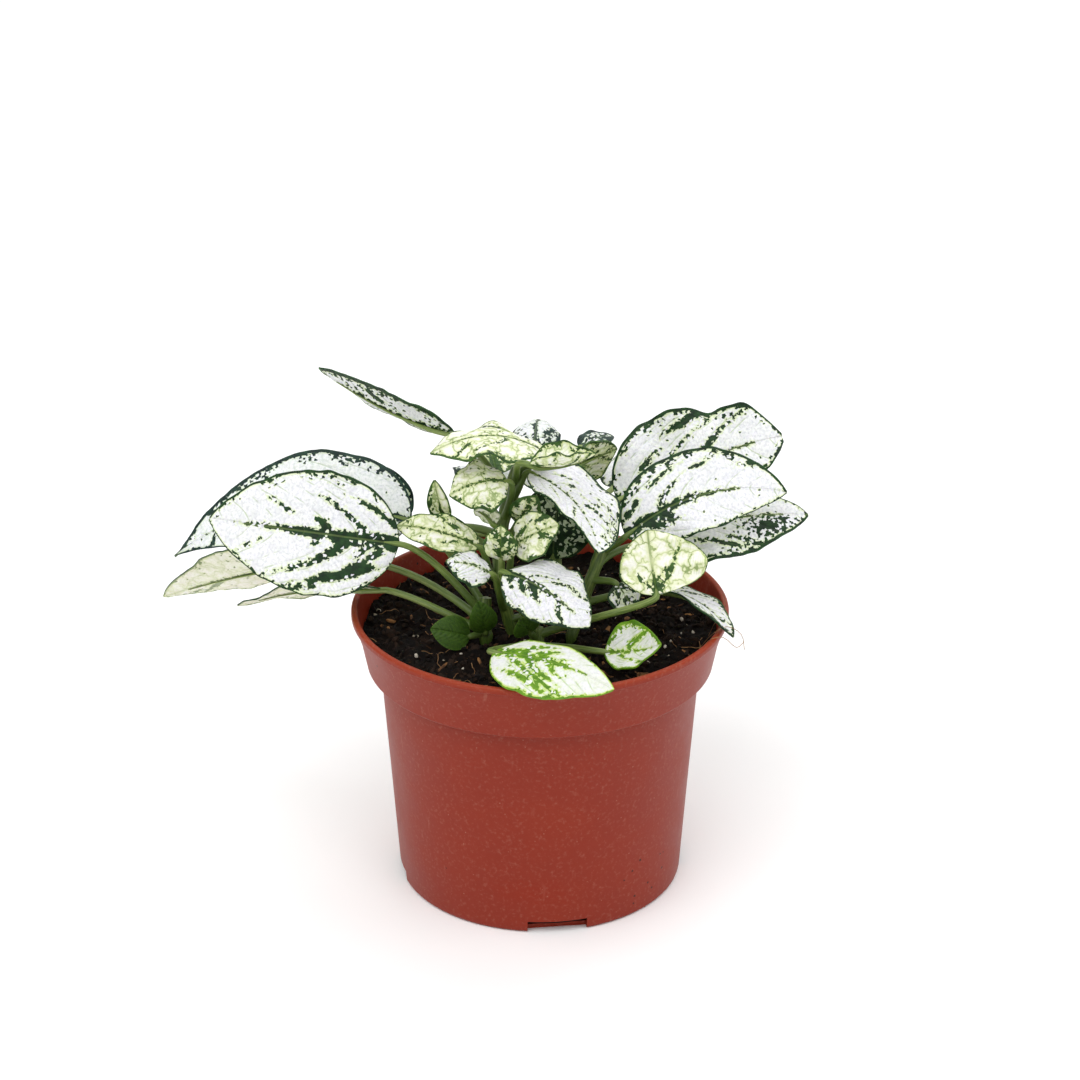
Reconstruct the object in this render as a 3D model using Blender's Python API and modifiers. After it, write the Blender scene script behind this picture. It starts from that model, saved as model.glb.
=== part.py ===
"""A potted polka dot plant: a thin plastic nursery pot, its soil, five short stems and their leaves.

Sizes are in millimetres and become metres through MM. The frame has +Z up, the origin at the centre of
the pot's underside, +X to the right and -Y to the front.
"""

import math
from dataclasses import dataclass

import bmesh
import bpy
import numpy as np
from mathutils import Vector

MM = 0.001
GAP = 0.3  # clearance between pieces that touch on the real plant

# Pot
POT_RIM_RADIUS = 60.0
POT_HEIGHT = 93.3
POT_WALL = 1.1
POT_FLOOR = 1.5
POT_BASE_RADIUS = 46.0
BODY_TOP_RADIUS = 51.0  # the straight body, just under the rim band
BAND_LOW_RADIUS = 55.4  # the rim band widens from here to the rim
BAND_LOW_HEIGHT = 74.6
STEP_LOW = BAND_LOW_HEIGHT - 1.2  # inside, the wall widens between these two heights
STEP_HIGH = BAND_LOW_HEIGHT + 1.2
LIP_HEIGHT = 2.2
LIP_STAND = 0.9  # how far the lip stands out from the band
POT_STEPS = 40
DRAIN_SLOTS = 4
DRAIN_SLOT_WIDTH = 19.0
DRAIN_SLOT_HEIGHT = 4.1
DRAIN_SLOT_DEPTH = 6.5
DRAIN_SLOT_BEARING = -83.0  # degrees from +X, of the slot at the front
DRAIN_HOLES = 6
DRAIN_HOLE_RADIUS = 3.5
DRAIN_HOLE_RING = 26.0

# Soil
SOIL_LEVEL = 86.0
SOIL_MOUND = 1.5
SOIL_LUMP = 0.7

# Plant
BLADE_THICKNESS = 0.8
BASE_ROUNDING = 0.55
PETIOLE_RADIUS = 1.25
PETIOLE_RINGS = 4
STEM_RADIUS = 2.0
ROOT_DEPTH = 12.0  # how deep a stem stands in the soil
COLLAR = SOIL_LEVEL + 3.0  # up to here a stem is upright

GREEN = (0.16, 0.30, 0.07, 1.0)
VARIEGATED = (0.80, 0.85, 0.74, 1.0)
TERRACOTTA = (0.42, 0.10, 0.055, 1.0)
PEAT = (0.025, 0.016, 0.010, 1.0)


@dataclass
class Leaf:
    """One leaf: where its blade starts and ends, which way its upper face looks, and how it is bent."""

    name: str
    stem: str
    node: float  # height at which its petiole leaves the stem
    base: tuple
    tip: tuple
    face: tuple
    half_width: float
    lean: float = 0.0  # share by which the half on the right of the midrib is wider than the mean
    widest: float = 0.42  # where the blade is widest, as a share of its length
    arch: float = 0.10  # rise of the midrib over its chord, as a share of the chord
    sway: float = 0.0  # the same, to the right
    fold: float = 10.0  # degrees that each half is turned up from the midrib
    cup: float = -15.0  # degrees that a half turns on further, from the midrib to the margin
    twist: float = 0.0  # degrees between base and tip
    wave: float = 0.08  # height of the margin's waves, as a share of the half width
    ripples: float = 2.5
    rise: float = 40.0  # degrees above the horizon at which the petiole leaves the stem
    entry: float = 0.25  # how far before the blade the petiole turns in line with the midrib
    lobes: tuple = ()  # bulges of the margin: place along, side (1 right, -1 left), height, breadth
    columns: int = 6
    rows: int = 8


# Each stem's centre line, from its collar upwards.
STEMS = {
    "stem_left": [(-17, -14, COLLAR), (-18, -13, 93), (-17, -11, 101)],
    "stem_centre": [(-9, -9, COLLAR), (-12, -8, 102), (-13, -4, 114), (-10, 3, 128), (-7, 6, 138)],
    "stem_right": [(10, -13, COLLAR), (13, -9, 97), (18, -4, 110), (21, -1, 119)],
    "stem_front": [(-1, -21, COLLAR), (-1, -20, 95)],
    "stem_back": [(6, 18, COLLAR), (5, 22, 100), (3, 25, 114), (3, 27, 124)],
}

BIG = {"columns": 8, "rows": 10}
SMALL = {"columns": 4, "rows": 6}

LEAVES = [
    # Left side
    Leaf("leaf_left_near", "stem_left", 97, (-44, -10, 119), (-102, -13, 129), (-0.1, -0.9, 0.42), 19.5,
         arch=0.05, fold=6, cup=-10, wave=0.05, rise=50, **BIG),
    Leaf("leaf_left_far", "stem_left", 99, (-41, 10, 118), (-118, 20, 101), (-0.2, -0.7, 0.7), 17.5,
         lean=0.08, widest=0.32, arch=0.11, sway=0.09, fold=8, cup=-15, wave=0.06, rise=45, **BIG),
    Leaf("leaf_left_low_far", "stem_left", 94, (-68, 25, 97), (-125, 38, 78), (0.0, 0.75, 0.65), 15,
         arch=0.03, fold=10, cup=0, wave=0.05, rise=25),
    Leaf("leaf_left_low", "stem_left", 91, (-50, -5, 101), (-97, 8, 89), (0.0, 0.55, 0.84), 9.5,
         arch=0.05, fold=5, cup=-12, wave=0.10, rise=20),
    Leaf("leaf_left_back", "stem_centre", 118, (-43, 24, 113), (-51, 26, 130), (0.3, -0.85, 0.4), 5,
         arch=0.08, fold=10, wave=0.10, rise=10, **SMALL),
    # Top of the centre stem
    Leaf("leaf_top_left", "stem_centre", 132, (-27, 14, 146), (-70, 28, 163), (0.52, 0.62, 0.6), 9.5,
         arch=-0.05, fold=12, cup=0, wave=0.04, rise=30),
    Leaf("leaf_crown_left", "stem_centre", 136, (3, 4, 143), (-34, -2, 146), (-0.05, -0.05, 1.0), 13,
         arch=0.17, fold=0, cup=-20, wave=0.12, rise=60),
    Leaf("leaf_crown_right", "stem_centre", 134, (-3, -15, 148), (17, -15, 151.5), (0.0, 0.05, 1.0), 9,
         arch=-0.10, fold=15, cup=60, wave=0.06, rise=50),
    Leaf("leaf_crown_front", "stem_centre", 129, (-3, 1, 138.5), (18, -26, 123), (0.65, -0.45, 0.6), 14,
         lean=-0.15, arch=0.08, sway=-0.09, fold=12, cup=-10, wave=0.06, rise=50),
    Leaf("leaf_inner_left", "stem_centre", 124, (-10, -5, 138), (-28, -9, 135), (-0.2, -0.5, 0.85), 10.5,
         arch=0.15, fold=5, cup=-30, wave=0.12, rise=50),
    Leaf("leaf_inner_dark", "stem_centre", 106, (4, 5, 107), (6, 7, 134), (0.0, -0.95, 0.3), 12,
         arch=0.08, fold=8, wave=0.08, rise=20),
    Leaf("leaf_inner_pale", "stem_centre", 117, (-7, -5, 124), (-1, -8, 134.5), (0.1, -0.9, 0.4), 5,
         arch=0.08, fold=8, wave=0.08, rise=30, **SMALL),
    Leaf("leaf_inner_curl", "stem_centre", 120, (-14, -11, 126), (-20, -13, 132), (0.2, 0.8, 0.55), 4.5,
         arch=0.10, fold=20, wave=0.08, rise=30, **SMALL),
    # Young leaves lower on the centre stem
    Leaf("leaf_young_left", "stem_centre", 106, (-19, -10, 118), (-45, -3, 122), (0.0, -0.6, 0.8), 6.5,
         arch=0.12, fold=12, cup=-20, wave=0.12, rise=40),
    Leaf("leaf_young_right", "stem_centre", 104, (-8, -12, 119), (6, -18, 129), (-0.3, -0.7, 0.65), 8,
         arch=0.10, fold=10, cup=-20, wave=0.12, rise=45),
    Leaf("leaf_young_mid", "stem_centre", 102, (-12, -15, 116), (-12, -18, 129), (-0.1, -0.9, 0.4), 5.5,
         arch=0.10, fold=10, cup=-20, wave=0.10, rise=40, **SMALL),
    Leaf("leaf_upright", "stem_centre", 114, (-30, 3, 121), (-33, 3, 135), (-0.2, -0.95, 0.1), 4,
         arch=0.05, fold=25, cup=0, wave=0.05, rise=30, **SMALL),
    Leaf("leaf_front_fold", "stem_front", 94, (-11, -22, 115), (15, -40, 105), (0.15, -0.55, 0.8), 13,
         lean=-0.2, arch=0.12, fold=-12, cup=-15, wave=0.10, rise=70),
    Leaf("leaf_front_curl", "stem_centre", 97, (-15, -19, 113), (-29, -21, 118), (0.0, -0.5, 0.86), 7,
         arch=0.12, fold=-5, cup=-25, wave=0.10, rise=45, **SMALL),
    # Right side
    Leaf("leaf_right_near", "stem_right", 114, (27, -6, 120), (77, 0, 132), (0.1, -0.75, 0.65), 13.5,
         lean=-0.12, arch=0.10, sway=-0.10, fold=8, cup=-12, wave=0.08, rise=30, **BIG),
    Leaf("leaf_right_tip", "stem_right", 110, (34, 5, 113), (85, 10, 120), (0.15, -0.6, 0.78), 12.5,
         lean=0.1, arch=0.08, sway=-0.02, fold=8, cup=-12, wave=0.10, rise=30, **BIG),
    Leaf("leaf_right_far", "stem_right", 116, (25, 24, 119), (78, 34, 137), (0.1, -0.85, 0.5), 15.5,
         lean=-0.2, widest=0.40, arch=0.06, sway=-0.04, fold=6, cup=-10, wave=0.12, ripples=3,
         rise=40, lobes=((0.64, -1, -2.0, 0.07), (0.86, -1, 3.4, 0.11), (0.88, 1, 4.0, 0.12)), **BIG),
    Leaf("leaf_right_pale", "stem_front", 93, (36, -26, 109), (33, -15, 126), (0.15, -0.9, 0.3), 14,
         lean=0.25, arch=-0.05, fold=12, cup=-20, wave=0.10, rise=25, entry=0.08),
    Leaf("leaf_right_low", "stem_right", 98, (36, -3, 100), (60, -23, 93), (0.3, 0.15, 0.94), 8,
         arch=0.12, fold=15, cup=-10, wave=0.06, rise=10),
    Leaf("leaf_right_small", "stem_right", 105, (24, -12, 106), (29, -16, 99), (0.3, -0.8, 0.5), 6,
         arch=0.10, rise=10, **SMALL),
    # Front
    Leaf("leaf_front_rim", "stem_front", 90, (-14, -43, 98), (22, -62, 95), (0.05, -0.3, 0.95), 12,
         lean=0.25, arch=0.08, fold=0, cup=-15, wave=0.04, rise=20),
    Leaf("leaf_front_right", "stem_front", 89, (20, -31, 92), (37, -36, 97), (-0.1, -0.5, 0.86), 10,
         arch=-0.10, fold=15, cup=20, wave=0.06, rise=15),
    # Back
    Leaf("leaf_back_arch", "stem_back", 120, (-2, 34, 134), (0, 60, 130.5), (0.0, -0.2, 0.97), 9.5,
         arch=0.18, fold=-8, cup=-45, wave=0.05, rise=60),
    Leaf("leaf_back_right", "stem_back", 121, (9, 26, 129), (25, 36, 132), (-0.3, 0.85, 0.4), 11,
         lean=-0.3, arch=0.02, fold=8, wave=0.06, rise=45),
    Leaf("leaf_back_small", "stem_back", 118, (13, 41, 130.5), (24, 50, 130.5), (0.1, -0.1, 0.97), 5,
         arch=0.10, fold=8, wave=0.08, rise=40, **SMALL),
    Leaf("leaf_back_left_low", "stem_back", 102, (-44, 36, 104), (-86, 60, 98), (0.0, 0.3, 0.95), 15,
         arch=0.15, fold=8, wave=0.08, rise=30),
    Leaf("leaf_back_centre", "stem_back", 110, (3, 48, 112), (8, 92, 98), (0.0, 0.35, 0.93), 16,
         arch=0.12, fold=8, wave=0.08, rise=40),
    Leaf("leaf_back_right_low", "stem_back", 102, (26, 38, 106), (68, 62, 100), (0.2, 0.3, 0.93), 15,
         arch=0.15, fold=8, wave=0.08, rise=30),
    Leaf("leaf_back_left_mid", "stem_back", 113, (-14, 40, 114), (-24, 67, 112), (0.0, 0.4, 0.92), 11,
         arch=0.12, fold=8, wave=0.08, rise=45),
    Leaf("leaf_back_right_mid", "stem_back", 111, (24, 46, 114), (48, 76, 112), (-0.1, 0.35, 0.93), 12,
         arch=0.15, fold=8, wave=0.08, rise=40),
    Leaf("leaf_back_top", "stem_centre", 126, (-14, 27, 127), (-20, 55, 127), (0.0, 0.3, 0.95), 10,
         arch=0.12, fold=8, wave=0.08, rise=50),
]

# Seed leaves and bracts, part of the stem that carries them.
SPROUTS = [
    Leaf("seed_leaf_left", "stem_left", 90, (-22, -18, 91), (-34, -21, 95), (-0.2, -0.8, 0.55), 5.5,
         fold=5, wave=0.0, rise=20, **SMALL),
    Leaf("seed_leaf_near", "stem_left", 90, (-17, -19, 93), (-19, -22, 105), (0.1, -0.9, 0.4), 4.5,
         fold=5, wave=0.0, rise=40, **SMALL),
    Leaf("bract_centre", "stem_centre", 92, (-3, -11, 95), (-2, -12, 102), (0.0, -0.95, 0.3), 3,
         fold=15, wave=0.0, rise=50, **SMALL),
    Leaf("seed_leaf_front", "stem_front", 92, (-3, -26, 96), (-6, -30, 103), (-0.1, -0.8, 0.55), 4.5,
         fold=5, wave=0.0, rise=30, **SMALL),
]


def material(name, colour, roughness):
    """A plain material for one of the part's finishes, made once and shared."""
    made = bpy.data.materials.get(name)
    if made is None:
        made = bpy.data.materials.new(name)
        made.use_nodes = True
        shader = made.node_tree.nodes["Principled BSDF"]
        shader.inputs["Base Color"].default_value = colour
        shader.inputs["Roughness"].default_value = roughness
        shader.inputs["Metallic"].default_value = 0.0
    return made


def add_object(name, data, collection):
    made = bpy.data.objects.new(name, data)
    collection.objects.link(made)
    return made


def solid_mesh(obj):
    """The object's evaluated shape as a mesh of its own, with a curve's loose caps welded to its sides."""
    bpy.context.view_layer.update()
    graph = bpy.context.evaluated_depsgraph_get()
    mesh = bpy.data.meshes.new_from_object(obj.evaluated_get(graph))
    shape = bmesh.new()
    shape.from_mesh(mesh)
    bmesh.ops.remove_doubles(shape, verts=shape.verts, dist=0.001 * MM)
    shape.to_mesh(mesh)
    shape.free()
    return mesh


def fuse(name, bodies, collection):
    """Joins closed bodies that reach into each other to one object, by a Boolean union on a collection."""
    first, *rest = bodies
    if rest:
        tools = bpy.data.collections.new(f"{name}_pieces")
        bpy.context.scene.collection.children.link(tools)
        for body in rest:
            collection.objects.unlink(body)
            tools.objects.link(body)
        union = first.modifiers.new("union", "BOOLEAN")
        union.operation = "UNION"
        union.operand_type = "COLLECTION"
        union.collection = tools
        union.solver = "EXACT"
        mesh = solid_mesh(first)
        first.modifiers.clear()
        first.data = mesh
        for body in rest:
            bpy.data.objects.remove(body)
        bpy.data.collections.remove(tools)
    first.name = name
    return first


def tube(name, points, radii, collection, sides=6):
    """A closed tube through the points, in millimetres, with its own radius at each of them."""
    curve = bpy.data.curves.new(name, "CURVE")
    curve.dimensions = "3D"
    curve.bevel_depth = MM
    curve.bevel_resolution = sides // 2 - 2
    curve.use_fill_caps = True
    spline = curve.splines.new("POLY")
    spline.points.add(len(points) - 1)
    for point, place, radius in zip(spline.points, points, radii):
        point.co = (*(Vector(place) * MM), 1.0)
        point.radius = radius
    guide = add_object(f"{name}_line", curve, collection)
    made = add_object(name, solid_mesh(guide), collection)
    bpy.data.objects.remove(guide)
    return made


def smooth_line(points, count):
    """Points along a Catmull-Rom curve through the given ones."""
    given = [Vector(p) for p in points]
    ends = [given[0] * 2 - given[1], *given, given[-1] * 2 - given[-2]]
    line = []
    for i in range(count + 1):
        place = i / count * (len(given) - 1)
        k = min(int(place), len(given) - 2)
        t = place - k
        a, b, c, d = ends[k : k + 4]
        line.append(0.5 * (2 * b + (c - a) * t + (2 * a - 5 * b + 4 * c - d) * t**2
                           + (3 * b - a - 3 * c + d) * t**3))
    return line


# ---------------------------------------------------------------- leaf form

def midrib(leaf, t):
    """The point and direction of a blade's midrib at t, from 0 at its base to 1 at its tip."""
    base, tip = Vector(leaf.base), Vector(leaf.tip)
    chord = tip - base
    up = Vector(leaf.face).normalized()
    side = chord.normalized().cross(up).normalized()
    bow = side.cross(chord.normalized()) * leaf.arch + side * leaf.sway
    middle = (base + tip) / 2 + bow * chord.length * 2
    point = base * (1 - t) ** 2 + middle * 2 * t * (1 - t) + tip * t**2
    along = (middle - base) * 2 * (1 - t) + (tip - middle) * 2 * t
    return point, along.normalized()


def half_width(leaf, t):
    """The blade's half width at t: rounded at its base, widest below its middle, pointed at its tip."""
    point = BASE_ROUNDING * (1 - leaf.widest) / leaf.widest
    peak = leaf.widest**BASE_ROUNDING * (1 - leaf.widest) ** point
    width = leaf.half_width * t**BASE_ROUNDING * (1 - t) ** point / peak
    return max(width, PETIOLE_RADIUS * 0.7 * (1 - t) + 0.35 * t)


def lobe(leaf, hand, t):
    """How far the margin bulges out at t on one side."""
    return sum(height * math.exp(-(((t - place) / breadth) ** 2))
               for place, side, height, breadth in leaf.lobes if side == hand)


def blade_point(leaf, s, t):
    """The point on a blade's middle surface at s, from -1 to 1 across it, and t, from base to tip."""
    point, along = midrib(leaf, t)
    up = Vector(leaf.face)
    up = (up - along * up.dot(along)).normalized()
    side = along.cross(up)
    turn = math.radians(leaf.twist) * (t - 0.5)
    side, up = side * math.cos(turn) + up * math.sin(turn), up * math.cos(turn) - side * math.sin(turn)
    fold, cup = math.radians(leaf.fold), math.radians(leaf.cup) or 1e-6
    reach = abs(s)
    out = (math.sin(fold + cup * reach) - math.sin(fold)) / cup
    lift = (math.cos(fold) - math.cos(fold + cup * reach)) / cup
    hand = math.copysign(1, s)
    lift += leaf.wave * reach**2 * math.sin(2 * math.pi * leaf.ripples * t + 1.3 * hand)
    wide = half_width(leaf, t) * (1 + leaf.lean * hand) + lobe(leaf, hand, t)
    return point + (side * hand * out + up * lift) * wide


def stem_point(stem, height):
    """The point of a stem's centre line at a height."""
    points = np.array([tuple(p) for p in smooth_line(STEMS[stem], 24)])
    return Vector([float(np.interp(height, points[:, 2], points[:, axis])) for axis in range(3)])


def petiole_line(leaf, start_gap):
    """Points and radii from the stem's side to the blade's base, and on under the midrib."""
    root = stem_point(leaf.stem, leaf.node)
    base, along = midrib(leaf, 0.0)
    away = Vector((base.x - root.x, base.y - root.y, 0)).normalized()
    rise = math.radians(leaf.rise)
    start_way = away * math.cos(rise) + Vector((0, 0, math.sin(rise)))
    start = root + away * start_gap
    reach = (base - start).length
    first, second = start + start_way * reach * 0.4, base - along * reach * leaf.entry
    points, radii = [], []
    for i in range(PETIOLE_RINGS):
        t = i / PETIOLE_RINGS
        points.append(start * (1 - t) ** 3 + first * 3 * t * (1 - t) ** 2
                      + second * 3 * t**2 * (1 - t) + base * t**3)
        radii.append(PETIOLE_RADIUS * (1 - 0.2 * t))
    up = Vector(leaf.face).normalized()
    for t, radius in ((0.0, 0.8), (0.25, 0.45)):
        point, _ = midrib(leaf, t)
        points.append(point - up * 0.35)
        radii.append(PETIOLE_RADIUS * radius)
    return points, radii


def add_blade(leaf, collection):
    """The blade: a grid bent to the leaf's form, split into triangles, then given its thickness."""
    mesh = bpy.data.meshes.new(leaf.name)
    shape = bmesh.new()
    bmesh.ops.create_grid(shape, x_segments=leaf.columns, y_segments=leaf.rows, size=1.0)
    for vert in shape.verts:
        vert.co = blade_point(leaf, vert.co.x, (vert.co.y + 1) / 2) * MM
    bmesh.ops.triangulate(shape, faces=shape.faces)
    bmesh.ops.recalc_face_normals(shape, faces=shape.faces)
    shape.to_mesh(mesh)
    shape.free()
    blade = add_object(leaf.name, mesh, collection)
    skin = blade.modifiers.new("thickness", "SOLIDIFY")
    skin.thickness = BLADE_THICKNESS * MM
    skin.offset = 0.0
    blade.data = solid_mesh(blade)
    blade.modifiers.clear()
    return blade


def add_leaf(leaf, collection):
    """A leaf as a body of its own, its petiole ending just off the stem."""
    blade = add_blade(leaf, collection)
    turned_up = PETIOLE_RADIUS * math.sin(math.radians(abs(leaf.rise)))
    points, radii = petiole_line(leaf, STEM_RADIUS + 2 * GAP + turned_up)
    petiole = tube(f"{leaf.name}_petiole", points, radii, collection)
    made = fuse(leaf.name, [blade, petiole], collection)
    made.data.materials.clear()
    made.data.materials.append(material("variegated_leaf", VARIEGATED, 0.5))
    return made


# ---------------------------------------------------------------- stems

def add_stem(name, collection):
    """A stem from its root end in the soil to its tip, with its seed leaves."""
    line = smooth_line(STEMS[name], 10)
    foot = line[0] - Vector((0, 0, COLLAR - SOIL_LEVEL + ROOT_DEPTH))
    points = [foot, *line]
    radii = [STEM_RADIUS * 0.9] + [STEM_RADIUS * (1 - 0.1 * i / len(line)) for i in range(len(line))]
    bodies = [tube(name, points, radii, collection, sides=8)]
    for sprout in SPROUTS:
        if sprout.stem == name:
            bodies.append(add_blade(sprout, collection))
            bodies.append(tube(f"{sprout.name}_petiole", *petiole_line(sprout, 0.5), collection))
    made = fuse(name, bodies, collection)
    made.data.materials.clear()
    made.data.materials.append(material("green_stem", GREEN, 0.45))
    return made


# ---------------------------------------------------------------- pot and soil

def turned(name, profile, steps, collection):
    """A profile of (radius, height) points, in millimetres, turned round the pot's axis."""
    mesh = bpy.data.meshes.new(name)
    edges = [(i, i + 1) for i in range(len(profile) - 1)]
    mesh.from_pydata([(r * MM, 0, z * MM) for r, z in profile], edges, [])
    made = add_object(name, mesh, collection)
    screw = made.modifiers.new("turn", "SCREW")
    screw.steps = screw.render_steps = steps
    screw.use_merge_vertices = True
    screw.merge_threshold = 0.00001
    screw.use_smooth_shade = True
    return made


def pot_inside(height):
    """The pot's inner radius at a height."""
    heights = [POT_FLOOR, STEP_LOW, STEP_HIGH, POT_HEIGHT]
    radii = [POT_BASE_RADIUS - POT_WALL, BODY_TOP_RADIUS - POT_WALL, BAND_LOW_RADIUS - POT_WALL,
             POT_RIM_RADIUS - LIP_STAND - POT_WALL]
    return float(np.interp(height, heights, radii))


def drain_cutters(collection):
    """The slots at the foot of the wall and the holes in the floor."""
    cutters = []
    for i in range(DRAIN_SLOTS):
        bearing = math.radians(DRAIN_SLOT_BEARING + 360 / DRAIN_SLOTS * i)
        middle = POT_BASE_RADIUS - DRAIN_SLOT_DEPTH / 2 + 1
        bpy.ops.mesh.primitive_cube_add(
            size=1,
            location=(math.cos(bearing) * middle * MM, math.sin(bearing) * middle * MM, 0),
            rotation=(0, 0, bearing),
            scale=((DRAIN_SLOT_DEPTH + 2) * MM, DRAIN_SLOT_WIDTH * MM, 2 * DRAIN_SLOT_HEIGHT * MM),
        )
        cutters.append(bpy.context.object)
    for i in range(DRAIN_HOLES):
        bearing = math.tau / DRAIN_HOLES * i
        bpy.ops.mesh.primitive_cylinder_add(
            vertices=12,
            radius=DRAIN_HOLE_RADIUS * MM,
            depth=POT_FLOOR * 4 * MM,
            location=(math.cos(bearing) * DRAIN_HOLE_RING * MM, math.sin(bearing) * DRAIN_HOLE_RING * MM, 0),
        )
        cutters.append(bpy.context.object)
    for i, cutter in enumerate(cutters):
        cutter.name = f"drain_cutter_{i}"
        cutter.hide_render = True
        cutter.display_type = "WIRE"
        for owner in list(cutter.users_collection):
            owner.objects.unlink(cutter)
        collection.objects.link(cutter)


def add_pot(collection, cutters):
    """The thin moulded pot: floor, tapered body, wider rim band and rolled lip."""
    band_top = POT_RIM_RADIUS - LIP_STAND
    profile = [
        (0, POT_FLOOR),
        (POT_BASE_RADIUS - POT_WALL - 1.4, POT_FLOOR),
        (POT_BASE_RADIUS - POT_WALL - 0.1, POT_FLOOR + 1.4),
        (pot_inside(STEP_LOW), STEP_LOW),
        (pot_inside(STEP_HIGH), STEP_HIGH),
        (pot_inside(POT_HEIGHT - 0.6), POT_HEIGHT - 0.6),
        (band_top - 0.3, POT_HEIGHT),
        (POT_RIM_RADIUS - 0.5, POT_HEIGHT),
        (POT_RIM_RADIUS, POT_HEIGHT - 0.7),
        (POT_RIM_RADIUS, POT_HEIGHT - LIP_HEIGHT + 0.5),
        (band_top, POT_HEIGHT - LIP_HEIGHT),
        (BAND_LOW_RADIUS, BAND_LOW_HEIGHT + 0.8),
        (BAND_LOW_RADIUS - 0.8, BAND_LOW_HEIGHT),
        (BODY_TOP_RADIUS + 0.5, BAND_LOW_HEIGHT - 0.9),
        (BODY_TOP_RADIUS, BAND_LOW_HEIGHT - 2.0),
        (POT_BASE_RADIUS + 0.1, 2.0),
        (POT_BASE_RADIUS - 0.5, 0.5),
        (POT_BASE_RADIUS - 1.4, 0),
        (0, 0),
    ]
    pot = turned("pot", profile, POT_STEPS, collection)
    drain_cutters(cutters)
    drains = pot.modifiers.new("drains", "BOOLEAN")
    drains.operation = "DIFFERENCE"
    drains.operand_type = "COLLECTION"
    drains.collection = cutters
    drains.solver = "EXACT"
    pot.data.materials.append(material("terracotta_plastic", TERRACOTTA, 0.5))
    return pot


def soil_height(x, y):
    """The soil's surface in millimetres: a low mound with lumps."""
    radius = math.hypot(x, y) / 56.0
    lumps = math.sin(0.31 * x + 1.7) * math.sin(0.27 * y + 0.4) + 0.6 * math.sin(0.53 * x - 0.47 * y)
    return SOIL_LEVEL + SOIL_MOUND * (1 - radius**2) + SOIL_LUMP * lumps


def add_soil(collection, cutters):
    """The block of soil that fills the pot, with a plain hole for each stem."""
    edge = pot_inside(SOIL_LEVEL - 2 * SOIL_LUMP) - GAP
    profile = [(0, SOIL_LEVEL)]
    profile += [(edge * share, SOIL_LEVEL) for share in (0.2, 0.4, 0.6, 0.8, 1.0)]
    profile += [
        (pot_inside(STEP_HIGH) - GAP - 0.1, STEP_HIGH + 0.4),
        (pot_inside(STEP_LOW) - GAP - 0.1, STEP_LOW + 0.4),
        (POT_BASE_RADIUS - POT_WALL - GAP - 0.2, POT_FLOOR + 1.7),
        (POT_BASE_RADIUS - POT_WALL - 1.7, POT_FLOOR + GAP),
        (0, POT_FLOOR + GAP),
    ]
    soil = turned("soil", profile, POT_STEPS, collection)
    soil.data = solid_mesh(soil)
    soil.modifiers.clear()
    for vert in soil.data.vertices:
        if vert.co.z > (SOIL_LEVEL - 0.01) * MM:
            x, y = vert.co.x / MM, vert.co.y / MM
            vert.co.z = soil_height(x, y) * MM
    for stem, line in STEMS.items():
        x, y, _ = line[0]
        bpy.ops.mesh.primitive_cylinder_add(
            vertices=10,
            radius=(STEM_RADIUS + GAP + 0.15) * MM,
            depth=2 * (ROOT_DEPTH + GAP) * MM,
            location=(x * MM, y * MM, SOIL_LEVEL * MM),
        )
        hole = bpy.context.object
        hole.name = f"{stem}_hole"
        hole.hide_render = True
        hole.display_type = "WIRE"
        for owner in list(hole.users_collection):
            owner.objects.unlink(hole)
        cutters.objects.link(hole)
    holes = soil.modifiers.new("stem_holes", "BOOLEAN")
    holes.operation = "DIFFERENCE"
    holes.operand_type = "COLLECTION"
    holes.collection = cutters
    holes.solver = "EXACT"
    soil.data.materials.append(material("peat_soil", PEAT, 0.95))
    return soil


def main():
    for obj in list(bpy.data.objects):
        bpy.data.objects.remove(obj)
    collections = {}
    for name in ("potted_polka_dot_plant", "drain_cutters", "stem_hole_cutters"):
        collections[name] = bpy.data.collections.new(name)
        bpy.context.scene.collection.children.link(collections[name])
    plant = collections["potted_polka_dot_plant"]
    for leaf in LEAVES:
        add_leaf(leaf, plant)
    for name in STEMS:
        add_stem(name, plant)
    add_soil(plant, collections["stem_hole_cutters"])
    add_pot(plant, collections["drain_cutters"])


if __name__ == "__main__":
    main()
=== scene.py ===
"""Dresses the potted polka dot plant: fine leaves, stalks, stems, pot and soil over its plain solids.

Lengths in the tables are in millimetres and become metres through MM. The frame has +Z up, the origin
at the centre of the pot's underside, +X to the right and -Y to the front.
"""

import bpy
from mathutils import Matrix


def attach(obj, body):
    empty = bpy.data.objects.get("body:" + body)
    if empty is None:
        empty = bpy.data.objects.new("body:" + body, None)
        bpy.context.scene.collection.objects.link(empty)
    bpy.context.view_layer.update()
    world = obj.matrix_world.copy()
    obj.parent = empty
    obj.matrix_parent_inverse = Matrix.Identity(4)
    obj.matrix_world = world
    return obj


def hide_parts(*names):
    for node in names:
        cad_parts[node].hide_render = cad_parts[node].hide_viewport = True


bl_info = {
    "name": "Potted Polka Dot Plant",
    "version": (1, 0, 0),
    "blender": (4, 5, 0),
    "location": "3D View > Sidebar > Plant",
    "description": "Builds the leaves, stems, pot, soil and studio of a potted polka dot plant",
    "category": "Object",
}

import math
import random
from dataclasses import dataclass

import bmesh
import bpy
import numpy as np
from bpy.props import FloatProperty, FloatVectorProperty, IntProperty, PointerProperty
from mathutils import Matrix, Vector, noise

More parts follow.
